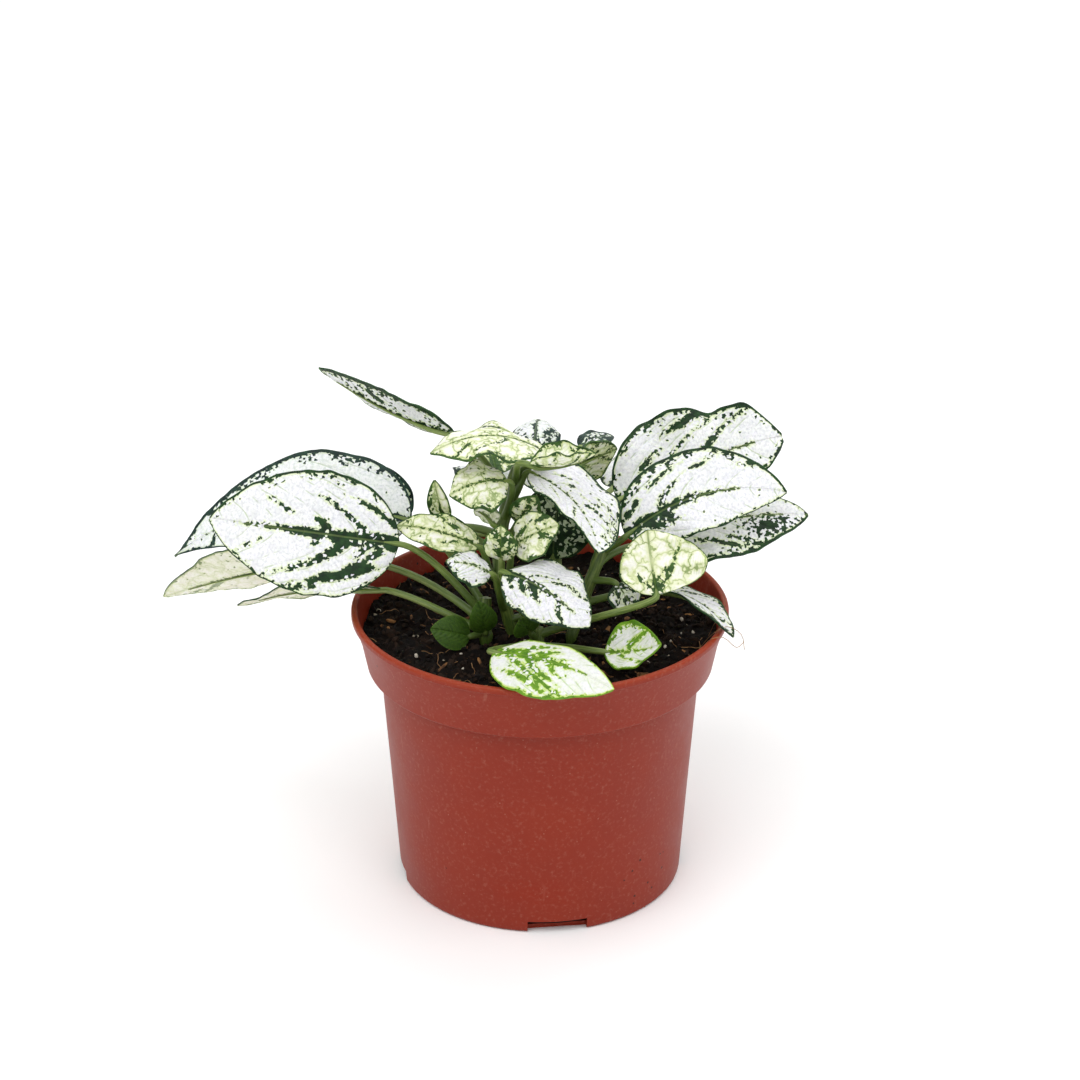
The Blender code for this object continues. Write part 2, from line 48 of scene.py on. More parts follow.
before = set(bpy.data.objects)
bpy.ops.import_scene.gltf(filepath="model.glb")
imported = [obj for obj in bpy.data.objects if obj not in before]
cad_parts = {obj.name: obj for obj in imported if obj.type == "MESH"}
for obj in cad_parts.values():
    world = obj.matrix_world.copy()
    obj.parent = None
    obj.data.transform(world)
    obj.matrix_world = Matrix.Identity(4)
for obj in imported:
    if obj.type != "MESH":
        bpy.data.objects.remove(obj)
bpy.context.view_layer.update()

MM = 0.001
SEED = 20  # for the loose bits on the soil

# Pot
POT_RIM_RADIUS = 60.0
POT_HEIGHT = 93.3
POT_WALL = 1.1
POT_FLOOR = 1.5
POT_BASE_RADIUS = 46.0
BODY_TOP_RADIUS = 51.0
BAND_LOW_RADIUS = 55.4
BAND_LOW_HEIGHT = 74.6
BAND_HOLLOW = 0.45  # where the middle of the band stands, from its lower edge (0) to its upper one (1)
INNER_STEP = 1.2  # half the height over which the inner wall steps out behind the band
INNER_MIDDLE = 40.0  # height of a ring halfway up the inner wall
LIP_HEIGHT = 2.2
LIP_STAND = 0.9
LIP_INNER_ROUND = 0.6
LIP_ROUND = 0.7
LIP_UNDER_ROUND = 0.4
BAND_ROUND = 0.9
FLOOR_ROUND = 1.4
FOOT_ROUND = 1.3
STEP_EASE = ((1.5, 0.12), (0.6, 0.6), (0.15, 1.4), (0.0, 2.6))  # out from the body, down from the band
POLE_RADIUS = 0.004  # of the ring at the axis, which is then welded shut
WELD = 0.01  # points closer than this become one
DRAIN_SLOTS = 4
DRAIN_SLOT_WIDTH = 19.0
DRAIN_SLOT_HEIGHT = 4.1
DRAIN_SLOT_CUT = 3.6  # a slot goes through the wall, and the floor's edge shows behind it
DRAIN_SLOT_BEARING = -83.0
DRAIN_HOLES = 6
DRAIN_HOLE_RADIUS = 3.5
DRAIN_HOLE_RING = 26.0
CUTTER_STAND = 2.0  # how far a slot's cutter stands out of the wall

# Soil
SOIL_LEVEL = 86.0
SOIL_RADIUS = 56.0
SOIL_MOUND = 1.5
SOIL_LUMP = 0.7
SOIL_CLOD = 1.3
SOIL_PIT = 0.8
SOIL_DROP = 0.3  # brings the broken surface back to the soil's level
SOIL_EDGE_GAP = 0.3
SOIL_SIDE_GAP = 0.4
SOIL_FOOT = ((1.7, 0.5), (0.3, 1.7))  # the lowest corners: height over the floor, gap to the inner wall

BITS_REACH = 55.0
HAIRS_REACH = 54.0
HAIR_LENGTHS = (5.0, 16.0)
HAIR_STEPS = 8
HAIR_RADIUS = 0.13
HAIR_LIFT = 0.35
HAIR_SIDES = 4
STRAY_HAIR_RADIUS = 0.1
STRAY_HAIRS = (  # root hairs that hang over the rim
    ((50, -20, 88), (53.5, -21, 93), (58, -22.5, 96.5), (62.5, -23, 94), (63.5, -24.5, 89.5)),
    ((49, -26, 88), (52, -26.5, 93.5), (56.5, -28, 95.5), (60.5, -30, 93), (63, -29, 94.5)),
    ((53, -12, 88), (55, -12.5, 93), (58, -13, 99), (57, -14, 104)),
)

# Stems and petioles
STEM_RADIUS = 2.0
STEM_FOOT_SHARE = 0.95  # a stem's radius at its foot, as a share of STEM_RADIUS
STEM_TAPER = 0.1  # what that share loses on the way up
JOINT_SWELL = 0.16  # where a petiole leaves, as a share of STEM_RADIUS
JOINT_HEIGHT = 1.8  # how far the swelling reaches up and down the stem
ROOT_DEPTH = 8.0
COLLAR = SOIL_LEVEL + 3.0
PETIOLE_RADIUS = 1.25
PETIOLE_PULL = 0.4  # how far a petiole runs on as it left the stem, as a share of its length
PETIOLE_TAPER = 0.2  # share of its radius that a petiole loses on its way to the blade
PETIOLE_FLARE = 0.22  # thicker at its foot, fading over FLARE_RINGS rings
FLARE_RINGS = 1.3
KEEL_PLACES = (0.0, 0.06, 0.12, 0.2, 0.3, 0.42, 0.55, 0.7, 0.85)  # along the midrib, under the blade
KEEL_TIP = 0.12  # the keel's radius at the blade's tip, as a share of PETIOLE_RADIUS
KEEL_TAPER = 0.68  # what is added to that share at the blade's base
KEEL_COVER = 0.3  # how deep the keel lies under the midrib, besides its own radius
KEEL_SINK_END = 0.12  # share of the midrib over which the petiole sinks to the keel's depth

# Blades
BASE_ROUNDING = 0.55
NECK_SHARE = 0.7  # a blade's half width where it starts, as a share of PETIOLE_RADIUS
TIP_HALF_WIDTH = 0.35
WAVE_SHIFT = 1.3  # sets the waves of the two margins apart
SIDE_VEINS = 7  # side veins along each half of a blade
VEIN_SLOPE = 0.35  # a side vein starts nearly square to the midrib
VEIN_BEND = 1.75  # and bends to the tip, the more the narrower the blade

# A blade's relief. The heights are for one whose half width is RELIEF_HALF_WIDTH.
RELIEF_HALF_WIDTH = 18.0
QUILT_HEIGHT = 0.22  # between the side veins
GROOVE_DEPTH = 0.35  # along the midrib
GROOVE_HALF_BREADTH = 0.9
SWELL_HEIGHT = 1.1  # slow, uneven swells
FRILL_HEIGHT = 0.6  # small, quick waves at the margin
RAGGED_SHARE = 0.045  # how far the outline wanders, as a share of the half width

# Markings on a blade, in millimetres unless they say otherwise
CELL_BEND = 1.6  # how far the net of cells is bent
SPLASH_RAGGED = 1.7  # how far the green's edge wanders
ISLAND_SHARE = 0.12  # share of the green's cells that may stay pale
ISLAND_DEPTH = 1.7  # how far inside the green they may lie
TOOTH_LENGTH = 3.0  # the margin's teeth, as a share of its breadth
MARGIN_LEAST = 0.75  # the margin between its teeth, as a share of its breadth
DOT_RADIUS = 0.34  # of a loose dot, in cells
DOT_GROWTH = 0.9  # what is added to it where every cell is a dot
VEIN_RAGGED = 0.5  # how far the side veins wander
NET_BEND = 5.0  # how far the network of fine veins is bent
NET_SCALE = 0.19  # its meshes to a millimetre
NET_MESH = 5.3  # a mesh's breadth

# Marks on the pot, in metres
GRIT_PLACE = (0.034, -0.032, 0.014)
STAIN_PLACE = (-0.003, -0.046, 0.015)
STAIN_SHARPNESS = (70.0, 40.0, 170.0)

# Studio
VIEW_HEIGHT = 115.8  # of the point that the camera and the lights look at
LIGHTS = (  # name, place and side, in metres
    ("key", (-0.55, -0.8, 1.6), 1.6),
    ("fill", (1.2, -0.5, 1.1), 1.8),
    ("back", (0.3, 1.2, 1.6), 2.0),
)
FLOOR_SIDE = 8.0  # in metres
WHITE = (1.0, 1.0, 1.0, 1.0)


def tint(red, green, blue):
    """A display colour, 0 to 255 a channel, as the linear colour that a shader takes."""
    linear = []
    for channel in (red, green, blue):
        share = channel / 255
        linear.append(share / 12.92 if share <= 0.04045 else ((share + 0.055) / 1.055) ** 2.4)
    return (*linear, 1.0)


# ---------------------------------------------------------------- the plant's form

@dataclass
class Leaf:
    """One leaf: where its blade starts and ends, which way its upper face looks, and how it is bent."""

    name: str
    stem: str
    node: float  # height at which its petiole leaves the stem
    base: tuple
    tip: tuple
    face: tuple
    half_width: float
    lean: float = 0.0  # share by which the half on the right of the midrib is wider than the mean
    widest: float = 0.42  # where the blade is widest, as a share of its length
    arch: float = 0.10  # rise of the midrib over its chord, as a share of the chord
    sway: float = 0.0  # the same, to the right
    fold: float = 10.0  # degrees that each half is turned up from the midrib
    cup: float = -15.0  # degrees that a half turns on further, from the midrib to the margin
    wave: float = 0.08  # height of the margin's waves, as a share of the half width
    ripples: float = 2.5
    rise: float = 40.0  # degrees above the horizon at which the petiole leaves the stem
    entry: float = 0.25  # how far before the blade the petiole turns in line with the midrib
    lobes: tuple = ()  # bulges of the margin: place along, side (1 right, -1 left), height, breadth
    columns: int = 36
    rows: int = 52


@dataclass
class Finish:
    """How one blade is marked. Breadths are in millimetres, places are shares of the blade."""

    kind: str = "mature"
    under: str = "under"  # the kind of its lower face
    spine: float = 2.2  # half breadth of the green along the midrib, at the blade's base
    reach: float = 0.85  # share of the midrib that it follows
    veins: tuple = None  # green side veins (which, from, to, half breadth); none given, they fall at random
    margin: tuple = (0.5, 0.5)  # breadth of the dark margin on the right and on the left
    speckle: float = 0.01  # share of the blade's cells that are dots
    patches: tuple = ()  # spotted places (along, across, radius, share of dots)


STEMS = {
    "stem_left": [(-17, -14, COLLAR), (-18, -13, 93), (-17, -11, 101)],
    "stem_centre": [(-9, -9, COLLAR), (-12, -8, 102), (-13, -4, 114), (-10, 3, 128), (-7, 6, 138)],
    "stem_right": [(10, -13, COLLAR), (13, -9, 97), (18, -4, 110), (21, -1, 119)],
    "stem_front": [(-1, -21, COLLAR), (-1, -20, 95)],
    "stem_back": [(6, 18, COLLAR), (5, 22, 100), (3, 25, 114), (3, 27, 124)],
}

BIG = {"columns": 44, "rows": 64}
SMALL = {"columns": 24, "rows": 32}

LEAVES = [
    # Left side
    Leaf("leaf_left_near", "stem_left", 97, (-44, -10, 119), (-102, -13, 129), (-0.1, -0.9, 0.42), 19.5,
         arch=0.05, fold=6, cup=-10, wave=0.05, rise=50, **BIG),
    Leaf("leaf_left_far", "stem_left", 99, (-41, 10, 118), (-118, 20, 101), (-0.2, -0.7, 0.7), 17.5,
         lean=0.08, widest=0.32, arch=0.11, sway=0.09, fold=8, cup=-15, wave=0.06, rise=45, **BIG),
    Leaf("leaf_left_low_far", "stem_left", 94, (-68, 25, 97), (-125, 38, 78), (0.0, 0.75, 0.65), 15,
         arch=0.03, fold=10, cup=0, wave=0.05, rise=25),
    Leaf("leaf_left_low", "stem_left", 91, (-50, -5, 101), (-97, 8, 89), (0.0, 0.55, 0.84), 9.5,
         arch=0.05, fold=5, cup=-12, wave=0.10, rise=20),
    Leaf("leaf_left_back", "stem_centre", 118, (-43, 24, 113), (-51, 26, 130), (0.3, -0.85, 0.4), 5,
         arch=0.08, fold=10, wave=0.10, rise=10, **SMALL),
    # Top of the centre stem
    Leaf("leaf_top_left", "stem_centre", 132, (-27, 14, 146), (-70, 28, 163), (0.52, 0.62, 0.6), 9.5,
         arch=-0.05, fold=12, cup=0, wave=0.04, rise=30),
    Leaf("leaf_crown_left", "stem_centre", 136, (3, 4, 143), (-34, -2, 146), (-0.05, -0.05, 1.0), 13,
         arch=0.17, fold=0, cup=-20, wave=0.12, rise=60),
    Leaf("leaf_crown_right", "stem_centre", 134, (-3, -15, 148), (17, -15, 151.5), (0.0, 0.05, 1.0), 9,
         arch=-0.10, fold=15, cup=60, wave=0.06, rise=50),
    Leaf("leaf_crown_front", "stem_centre", 129, (-3, 1, 138.5), (18, -26, 123), (0.65, -0.45, 0.6), 14,
         lean=-0.15, arch=0.08, sway=-0.09, fold=12, cup=-10, wave=0.06, rise=50),
    Leaf("leaf_inner_left", "stem_centre", 124, (-10, -5, 138), (-28, -9, 135), (-0.2, -0.5, 0.85), 10.5,
         arch=0.15, fold=5, cup=-30, wave=0.12, rise=50),
    Leaf("leaf_inner_dark", "stem_centre", 106, (4, 5, 107), (6, 7, 134), (0.0, -0.95, 0.3), 12,
         arch=0.08, fold=8, wave=0.08, rise=20),
    Leaf("leaf_inner_pale", "stem_centre", 117, (-7, -5, 124), (-1, -8, 134.5), (0.1, -0.9, 0.4), 5,
         arch=0.08, fold=8, wave=0.08, rise=30, **SMALL),
    Leaf("leaf_inner_curl", "stem_centre", 120, (-14, -11, 126), (-20, -13, 132), (0.2, 0.8, 0.55), 4.5,
         arch=0.10, fold=20, wave=0.08, rise=30, **SMALL),
    # Young leaves lower on the centre stem
    Leaf("leaf_young_left", "stem_centre", 106, (-19, -10, 118), (-45, -3, 122), (0.0, -0.6, 0.8), 6.5,
         arch=0.12, fold=12, cup=-20, wave=0.12, rise=40),
    Leaf("leaf_young_right", "stem_centre", 104, (-8, -12, 119), (6, -18, 129), (-0.3, -0.7, 0.65), 8,
         arch=0.10, fold=10, cup=-20, wave=0.12, rise=45),
    Leaf("leaf_young_mid", "stem_centre", 102, (-12, -15, 116), (-12, -18, 129), (-0.1, -0.9, 0.4), 5.5,
         arch=0.10, fold=10, cup=-20, wave=0.10, rise=40, **SMALL),
    Leaf("leaf_upright", "stem_centre", 114, (-30, 3, 121), (-33, 3, 135), (-0.2, -0.95, 0.1), 4,
         arch=0.05, fold=25, cup=0, wave=0.05, rise=30, **SMALL),
    Leaf("leaf_front_fold", "stem_front", 94, (-11, -22, 115), (15, -40, 105), (0.15, -0.55, 0.8), 13,
         lean=-0.2, arch=0.12, fold=-12, cup=-15, wave=0.10, rise=70),
    Leaf("leaf_front_curl", "stem_centre", 97, (-15, -19, 113), (-29, -21, 118), (0.0, -0.5, 0.86), 7,
         arch=0.12, fold=-5, cup=-25, wave=0.10, rise=45, **SMALL),
    # Right side
    Leaf("leaf_right_near", "stem_right", 114, (27, -6, 120), (77, 0, 132), (0.1, -0.75, 0.65), 13.5,
         lean=-0.12, arch=0.10, sway=-0.10, fold=8, cup=-12, wave=0.08, rise=30, **BIG),
    Leaf("leaf_right_tip", "stem_right", 110, (34, 5, 113), (85, 10, 120), (0.15, -0.6, 0.78), 12.5,
         lean=0.1, arch=0.08, sway=-0.02, fold=8, cup=-12, wave=0.10, rise=30, **BIG),
    Leaf("leaf_right_far", "stem_right", 116, (25, 24, 119), (78, 34, 137), (0.1, -0.85, 0.5), 15.5,
         lean=-0.2, widest=0.40, arch=0.06, sway=-0.04, fold=6, cup=-10, wave=0.12, ripples=3,
         rise=40, lobes=((0.64, -1, -2.0, 0.07), (0.86, -1, 3.4, 0.11), (0.88, 1, 4.0, 0.12)), **BIG),
    Leaf("leaf_right_pale", "stem_front", 93, (36, -26, 109), (33, -15, 126), (0.15, -0.9, 0.3), 14,
         lean=0.25, arch=-0.05, fold=12, cup=-20, wave=0.10, rise=25, entry=0.08),
    Leaf("leaf_right_low", "stem_right", 98, (36, -3, 100), (60, -23, 93), (0.3, 0.15, 0.94), 8,
         arch=0.12, fold=15, cup=-10, wave=0.06, rise=10),
    Leaf("leaf_right_small", "stem_right", 105, (24, -12, 106), (29, -16, 99), (0.3, -0.8, 0.5), 6,
         arch=0.10, rise=10, **SMALL),
    # Front
    Leaf("leaf_front_rim", "stem_front", 90, (-14, -43, 98), (22, -62, 95), (0.05, -0.3, 0.95), 12,
         lean=0.25, arch=0.08, fold=0, cup=-15, wave=0.04, rise=20),
    Leaf("leaf_front_right", "stem_front", 89, (20, -31, 92), (37, -36, 97), (-0.1, -0.5, 0.86), 10,
         arch=-0.10, fold=15, cup=20, wave=0.06, rise=15),
    # Back
    Leaf("leaf_back_arch", "stem_back", 120, (-2, 34, 134), (0, 60, 130.5), (0.0, -0.2, 0.97), 9.5,
         arch=0.18, fold=-8, cup=-45, wave=0.05, rise=60),
    Leaf("leaf_back_right", "stem_back", 121, (9, 26, 129), (25, 36, 132), (-0.3, 0.85, 0.4), 11,
         lean=-0.3, arch=0.02, fold=8, wave=0.06, rise=45),
    Leaf("leaf_back_small", "stem_back", 118, (13, 41, 130.5), (24, 50, 130.5), (0.1, -0.1, 0.97), 5,
         arch=0.10, fold=8, wave=0.08, rise=40, **SMALL),
    Leaf("leaf_back_left_low", "stem_back", 102, (-44, 36, 104), (-86, 60, 98), (0.0, 0.3, 0.95), 15,
         arch=0.15, fold=8, wave=0.08, rise=30),
    Leaf("leaf_back_centre", "stem_back", 110, (3, 48, 112), (8, 92, 98), (0.0, 0.35, 0.93), 16,
         arch=0.12, fold=8, wave=0.08, rise=40),
    Leaf("leaf_back_right_low", "stem_back", 102, (26, 38, 106), (68, 62, 100), (0.2, 0.3, 0.93), 15,
         arch=0.15, fold=8, wave=0.08, rise=30),
    Leaf("leaf_back_left_mid", "stem_back", 113, (-14, 40, 114), (-24, 67, 112), (0.0, 0.4, 0.92), 11,
         arch=0.12, fold=8, wave=0.08, rise=45),
    Leaf("leaf_back_right_mid", "stem_back", 111, (24, 46, 114), (48, 76, 112), (-0.1, 0.35, 0.93), 12,
         arch=0.15, fold=8, wave=0.08, rise=40),
    Leaf("leaf_back_top", "stem_centre", 126, (-14, 27, 127), (-20, 55, 127), (0.0, 0.3, 0.95), 10,
         arch=0.12, fold=8, wave=0.08, rise=50),
]

# Seed leaves and bracts, each part of the stem that carries it.
SPROUTS = [
    Leaf("seed_leaf_left", "stem_left", 90, (-22, -18, 91), (-34, -21, 95), (-0.2, -0.8, 0.55), 5.5,
         fold=5, wave=0.0, rise=20, **SMALL),
    Leaf("seed_leaf_near", "stem_left", 90, (-17, -19, 93), (-19, -22, 105), (0.1, -0.9, 0.4), 4.5,
         fold=5, wave=0.0, rise=40, **SMALL),
    Leaf("bract_centre", "stem_centre", 92, (-3, -11, 95), (-2, -12, 102), (0.0, -0.95, 0.3), 3,
         fold=15, wave=0.0, rise=50, **SMALL),
    Leaf("seed_leaf_front", "stem_front", 92, (-3, -26, 96), (-6, -30, 103), (-0.1, -0.8, 0.55), 4.5,
         fold=5, wave=0.0, rise=30, **SMALL),
]

FINISHES = {
    "leaf_left_near": Finish(
        spine=2.7, reach=0.88, margin=(1.0, 0.5), speckle=0.004,
        veins=((0.2, 0.3, 0.62, 1.0), (1.7, 0.0, 0.42, 1.2), (1.6, 0.48, 0.58, 0.6), (3.1, 0.0, 0.18, 2.4),
               (4.1, 0.3, 0.45, 0.8), (-0.9, 0.2, 0.5, 1.3), (-0.5, 0.5, 0.76, 2.2),
               (-1.5, 0.0, 0.3, 1.0), (-2.4, 0.0, 0.6, 1.7), (-2.4, 0.64, 0.86, 0.5),
               (-3.4, 0.0, 0.16, 1.8), (-5.3, 0.22, 0.45, 0.5), (-0.1, 0.86, 0.97, 0.9))),
    "leaf_left_far": Finish(
        kind="cool", spine=1.4, margin=(1.5, 0.6), speckle=0.02,
        veins=((1.6, 0.2, 0.5, 0.7), (3, 0.35, 0.85, 0.7), (4, 0.5, 0.95, 0.8), (5.5, 0.2, 0.9, 0.6),
               (-3, 0.2, 0.7, 0.8), (-5, 0.1, 0.8, 1.0), (-6, 0.1, 0.9, 0.7))),
    "leaf_left_low_far": Finish(spine=1.6, speckle=0.03, margin=(0.6, 0.6)),
    "leaf_left_low": Finish(spine=2.0, speckle=0.03, margin=(0.7, 0.7)),
    "leaf_left_back": Finish(kind="cool", spine=0.5, margin=(0.9, 0.9), speckle=0.03),
    "leaf_top_left": Finish(under="mature", spine=1.4, margin=(0.8, 1.6), speckle=0.16),
    "leaf_crown_left": Finish(kind="young", spine=0.8, margin=(0.5, 0.8), speckle=0.02,
                              veins=((2, 0.5, 0.9, 0.9), (-3, 0.1, 0.6, 0.7), (-5, 0.3, 0.8, 0.6))),
    "leaf_crown_right": Finish(kind="young", under="young", spine=0.8, margin=(0.3, 0.7), speckle=0.06),
    "leaf_crown_front": Finish(
        spine=0.7, margin=(0.35, 1.0), speckle=0.02,
        veins=((-1, 0.3, 0.42, 0.35), (-2, 0.2, 0.36, 0.35), (-2, 0.55, 0.7, 0.4), (-3, 0.3, 0.45, 0.35),
               (-3, 0.6, 0.8, 0.5), (-4, 0.2, 0.5, 0.7), (-5, 0.3, 0.5, 0.35), (-6, 0.2, 0.6, 0.6),
               (2, 0.3, 0.5, 0.3), (4, 0.2, 0.5, 0.3))),
    "leaf_inner_left": Finish(kind="young", spine=1.0, margin=(0.8, 0.8), speckle=0.03),
    # painted shade: this blade is darkened through the deep kind, as it lies in shade in the plant's centre
    "leaf_inner_dark": Finish(kind="deep", spine=2.0, margin=(1.5, 1.5), speckle=0.55,
                              veins=((2, 0.0, 0.8, 0.8), (-2, 0.0, 0.8, 0.8), (4, 0.0, 0.8, 0.7))),
    "leaf_inner_pale": Finish(kind="young", spine=0.8, margin=(1.4, 1.4), speckle=0.05),
    "leaf_inner_curl": Finish(kind="young", spine=0.8, margin=(0.4, 0.4), speckle=0.02),
    "leaf_young_left": Finish(kind="young", spine=0.7, margin=(0.5, 0.3), speckle=0.01,
                              veins=((2, 0.3, 0.9, 0.6), (-2, 0.2, 0.5, 0.5))),
    "leaf_young_right": Finish(kind="young", spine=0.9, margin=(0.6, 0.6), speckle=0.04),
    "leaf_young_mid": Finish(kind="young", spine=0.6, margin=(0.4, 0.4), speckle=0.01),
    "leaf_upright": Finish(kind="young", spine=1.8, reach=0.5, margin=(0.3, 0.6), speckle=0.0, veins=()),
    "leaf_front_fold": Finish(
        spine=1.8, margin=(0.5, 0.5), speckle=0.012,
        veins=((1, 0.1, 0.4, 0.7), (2, 0.0, 0.4, 1.5), (3, 0.0, 0.35, 1.9), (5, 0.0, 0.6, 0.9),
               (-2, 0.2, 0.4, 0.4), (-3, 0.3, 0.5, 0.6), (-4, 0.4, 0.7, 0.4))),
    "leaf_front_curl": Finish(spine=0.5, margin=(0.8, 0.8), speckle=0.03, veins=()),
    "leaf_right_near": Finish(
        spine=2.1, reach=0.74, margin=(0.4, 1.1), speckle=0.007,
        veins=((-0.5, 0.3, 0.42, 1.0), (-0.6, 0.62, 0.74, 0.7), (-2.1, 0.0, 0.4, 1.1),
               (-2.2, 0.6, 0.68, 0.6), (-3.4, 0.0, 0.1, 0.9), (-4.6, 0.55, 0.68, 1.0),
               (-2.2, 0.86, 1.0, 1.2), (1.4, 0.0, 0.4, 2.0), (2.0, 0.0, 0.3, 2.9), (3.4, 0.0, 0.1, 1.4))),
    "leaf_right_tip": Finish(
        spine=1.1, margin=(1.2, 0.5), speckle=0.01,
        veins=((2, 0.4, 0.9, 0.9), (3, 0.5, 0.95, 0.9), (-4, 0.2, 0.5, 0.6)),
        patches=((0.76, 0.3, 0.3, 0.8),)),
    "leaf_right_far": Finish(
        spine=1.6, margin=(0.9, 1.3), speckle=0.014,
        veins=((-1.4, 0.3, 0.42, 1.0), (-1.0, 0.72, 0.9, 1.5), (-2.6, 0.1, 0.3, 1.2),
               (-2.6, 0.36, 0.6, 0.6), (-4.2, 0.0, 0.3, 1.9), (-4.2, 0.3, 0.84, 0.6),
               (-4.2, 0.84, 1.0, 1.4), (2, 0.0, 0.4, 1.2), (4, 0.2, 0.5, 1.0))),
    "leaf_right_pale": Finish(kind="young", spine=1.5, reach=0.45, margin=(0.3, 0.3), speckle=0.0,
                              veins=((1, 0.0, 0.5, 0.9), (-1, 0.0, 0.5, 0.8), (2, 0.0, 0.2, 0.6))),
    "leaf_right_low": Finish(spine=0.6, margin=(0.9, 0.9), speckle=0.03),
    "leaf_right_small": Finish(spine=0.5, margin=(0.8, 0.8), speckle=0.04),
    "leaf_front_rim": Finish(
        kind="lime", spine=2.3, reach=0.8, margin=(0.5, 0.3), speckle=0.01,
        veins=((1.6, 0.0, 0.7, 1.1), (2.6, 0.0, 0.45, 1.5), (3.8, 0.0, 0.3, 1.0), (-2, 0.0, 0.7, 1.4),
               (-3, 0.0, 0.45, 1.5), (-4.2, 0.0, 0.3, 0.8), (0.2, 0.6, 0.8, 1.2))),
    "leaf_front_right": Finish(kind="lime", spine=0.9, margin=(0.5, 1.2), speckle=0.01,
                               veins=((2, 0.1, 0.7, 0.7), (-3, 0.2, 0.9, 0.9))),
    "leaf_back_arch": Finish(kind="cool", spine=1.0, margin=(1.6, 1.6), speckle=0.02),
    "leaf_back_right": Finish(kind="young", under="young", spine=1.0, margin=(0.8, 0.8), speckle=0.05),
    "leaf_back_small": Finish(kind="cool", spine=1.0, margin=(2.0, 2.0), speckle=0.03),
    "leaf_back_left_low": Finish(kind="cool", margin=(0.8, 0.8)),
    "leaf_back_centre": Finish(margin=(0.6, 0.6), speckle=0.015),
    "leaf_back_right_low": Finish(margin=(0.8, 0.8), speckle=0.015),
    "leaf_back_left_mid": Finish(kind="cool", margin=(1.0, 1.0), speckle=0.02),
    "leaf_back_right_mid": Finish(margin=(0.7, 0.7), speckle=0.012),
    "leaf_back_top": Finish(kind="young", margin=(0.7, 0.7), speckle=0.02),
}
SPROUT_FINISH = Finish(kind="seedling", spine=0.0, reach=0.1, veins=(), margin=(0.0, 0.0), speckle=0.0)


def smooth_line(points, count):
    """Points along a Catmull-Rom curve through the given ones."""
    given = [Vector(p) for p in points]
    ends = [given[0] * 2 - given[1], *given, given[-1] * 2 - given[-2]]
    line = []
    for i in range(count + 1):
        place = i / count * (len(given) - 1)
        k = min(int(place), len(given) - 2)
        t = place - k
        a, b, c, d = ends[k : k + 4]
        line.append(0.5 * (2 * b + (c - a) * t + (2 * a - 5 * b + 4 * c - d) * t**2
                           + (3 * b - a - 3 * c + d) * t**3))
    return line


def midrib(leaf, t):
    """The point and direction of a blade's midrib at t, from 0 at its base to 1 at its tip."""
    base, tip = Vector(leaf.base), Vector(leaf.tip)
    chord = tip - base
    up = Vector(leaf.face).normalized()
    side = chord.normalized().cross(up).normalized()
    bow = side.cross(chord.normalized()) * leaf.arch + side * leaf.sway
    middle = (base + tip) / 2 + bow * chord.length * 2
    point = base * (1 - t) ** 2 + middle * 2 * t * (1 - t) + tip * t**2
    along = (middle - base) * 2 * (1 - t) + (tip - middle) * 2 * t
    return point, along.normalized()


def leaf_length(leaf, steps=16):
    """The length of a blade's midrib."""
    points = [midrib(leaf, i / steps)[0] for i in range(steps + 1)]
    return sum((b - a).length for a, b in zip(points, points[1:]))


def half_width(leaf, t):
    """The blade's half width at t: rounded at its base, widest below its middle, pointed at its tip."""
    point = BASE_ROUNDING * (1 - leaf.widest) / leaf.widest
    peak = leaf.widest**BASE_ROUNDING * (1 - leaf.widest) ** point
    width = leaf.half_width * max(t, 0) ** BASE_ROUNDING * max(1 - t, 0) ** point / peak
    return max(width, PETIOLE_RADIUS * NECK_SHARE * (1 - t) + TIP_HALF_WIDTH * t)


def blade_frame(leaf, t):
    """The midrib's point at t, and the directions across and up from the blade there."""
    point, along = midrib(leaf, t)
    up = Vector(leaf.face)
    up = (up - along * up.dot(along)).normalized()
    return point, along.cross(up), up


def lobe(leaf, hand, t):
    """How far the margin bulges out at t on one side."""
    return sum(height * math.exp(-(((t - place) / breadth) ** 2))
               for place, side, height, breadth in leaf.lobes if side == hand)


def side_width(leaf, hand, t):
    """The breadth of the blade's half on one side at t."""
    return half_width(leaf, t) * (1 + leaf.lean * hand) + lobe(leaf, hand, t)


def blade_point(leaf, s, t, spot):
    """The point on a blade's middle surface at s, from -1 to 1 across it, on the spot's row."""
    point, side, up = spot
    fold, cup = math.radians(leaf.fold), math.radians(leaf.cup) or 1e-6
    reach = abs(s)
    out = (math.sin(fold + cup * reach) - math.sin(fold)) / cup
    lift = (math.cos(fold) - math.cos(fold + cup * reach)) / cup
    hand = math.copysign(1, s)
    lift += leaf.wave * reach**2 * math.sin(2 * math.pi * leaf.ripples * t + WAVE_SHIFT * hand)
    return point + (side * hand * out + up * lift) * side_width(leaf, hand, t)


def groove_depth(leaf):
    """How deep the midrib's groove is in the upper face, at the blade's base."""
    return GROOVE_DEPTH * leaf.half_width / RELIEF_HALF_WIDTH


def stem_point(stem, height):
    """The point of a stem's centre line at a height."""
    points = np.array([tuple(p) for p in smooth_line(STEMS[stem], 24)])
    return Vector([float(np.interp(height, points[:, 2], points[:, axis])) for axis in range(3)])


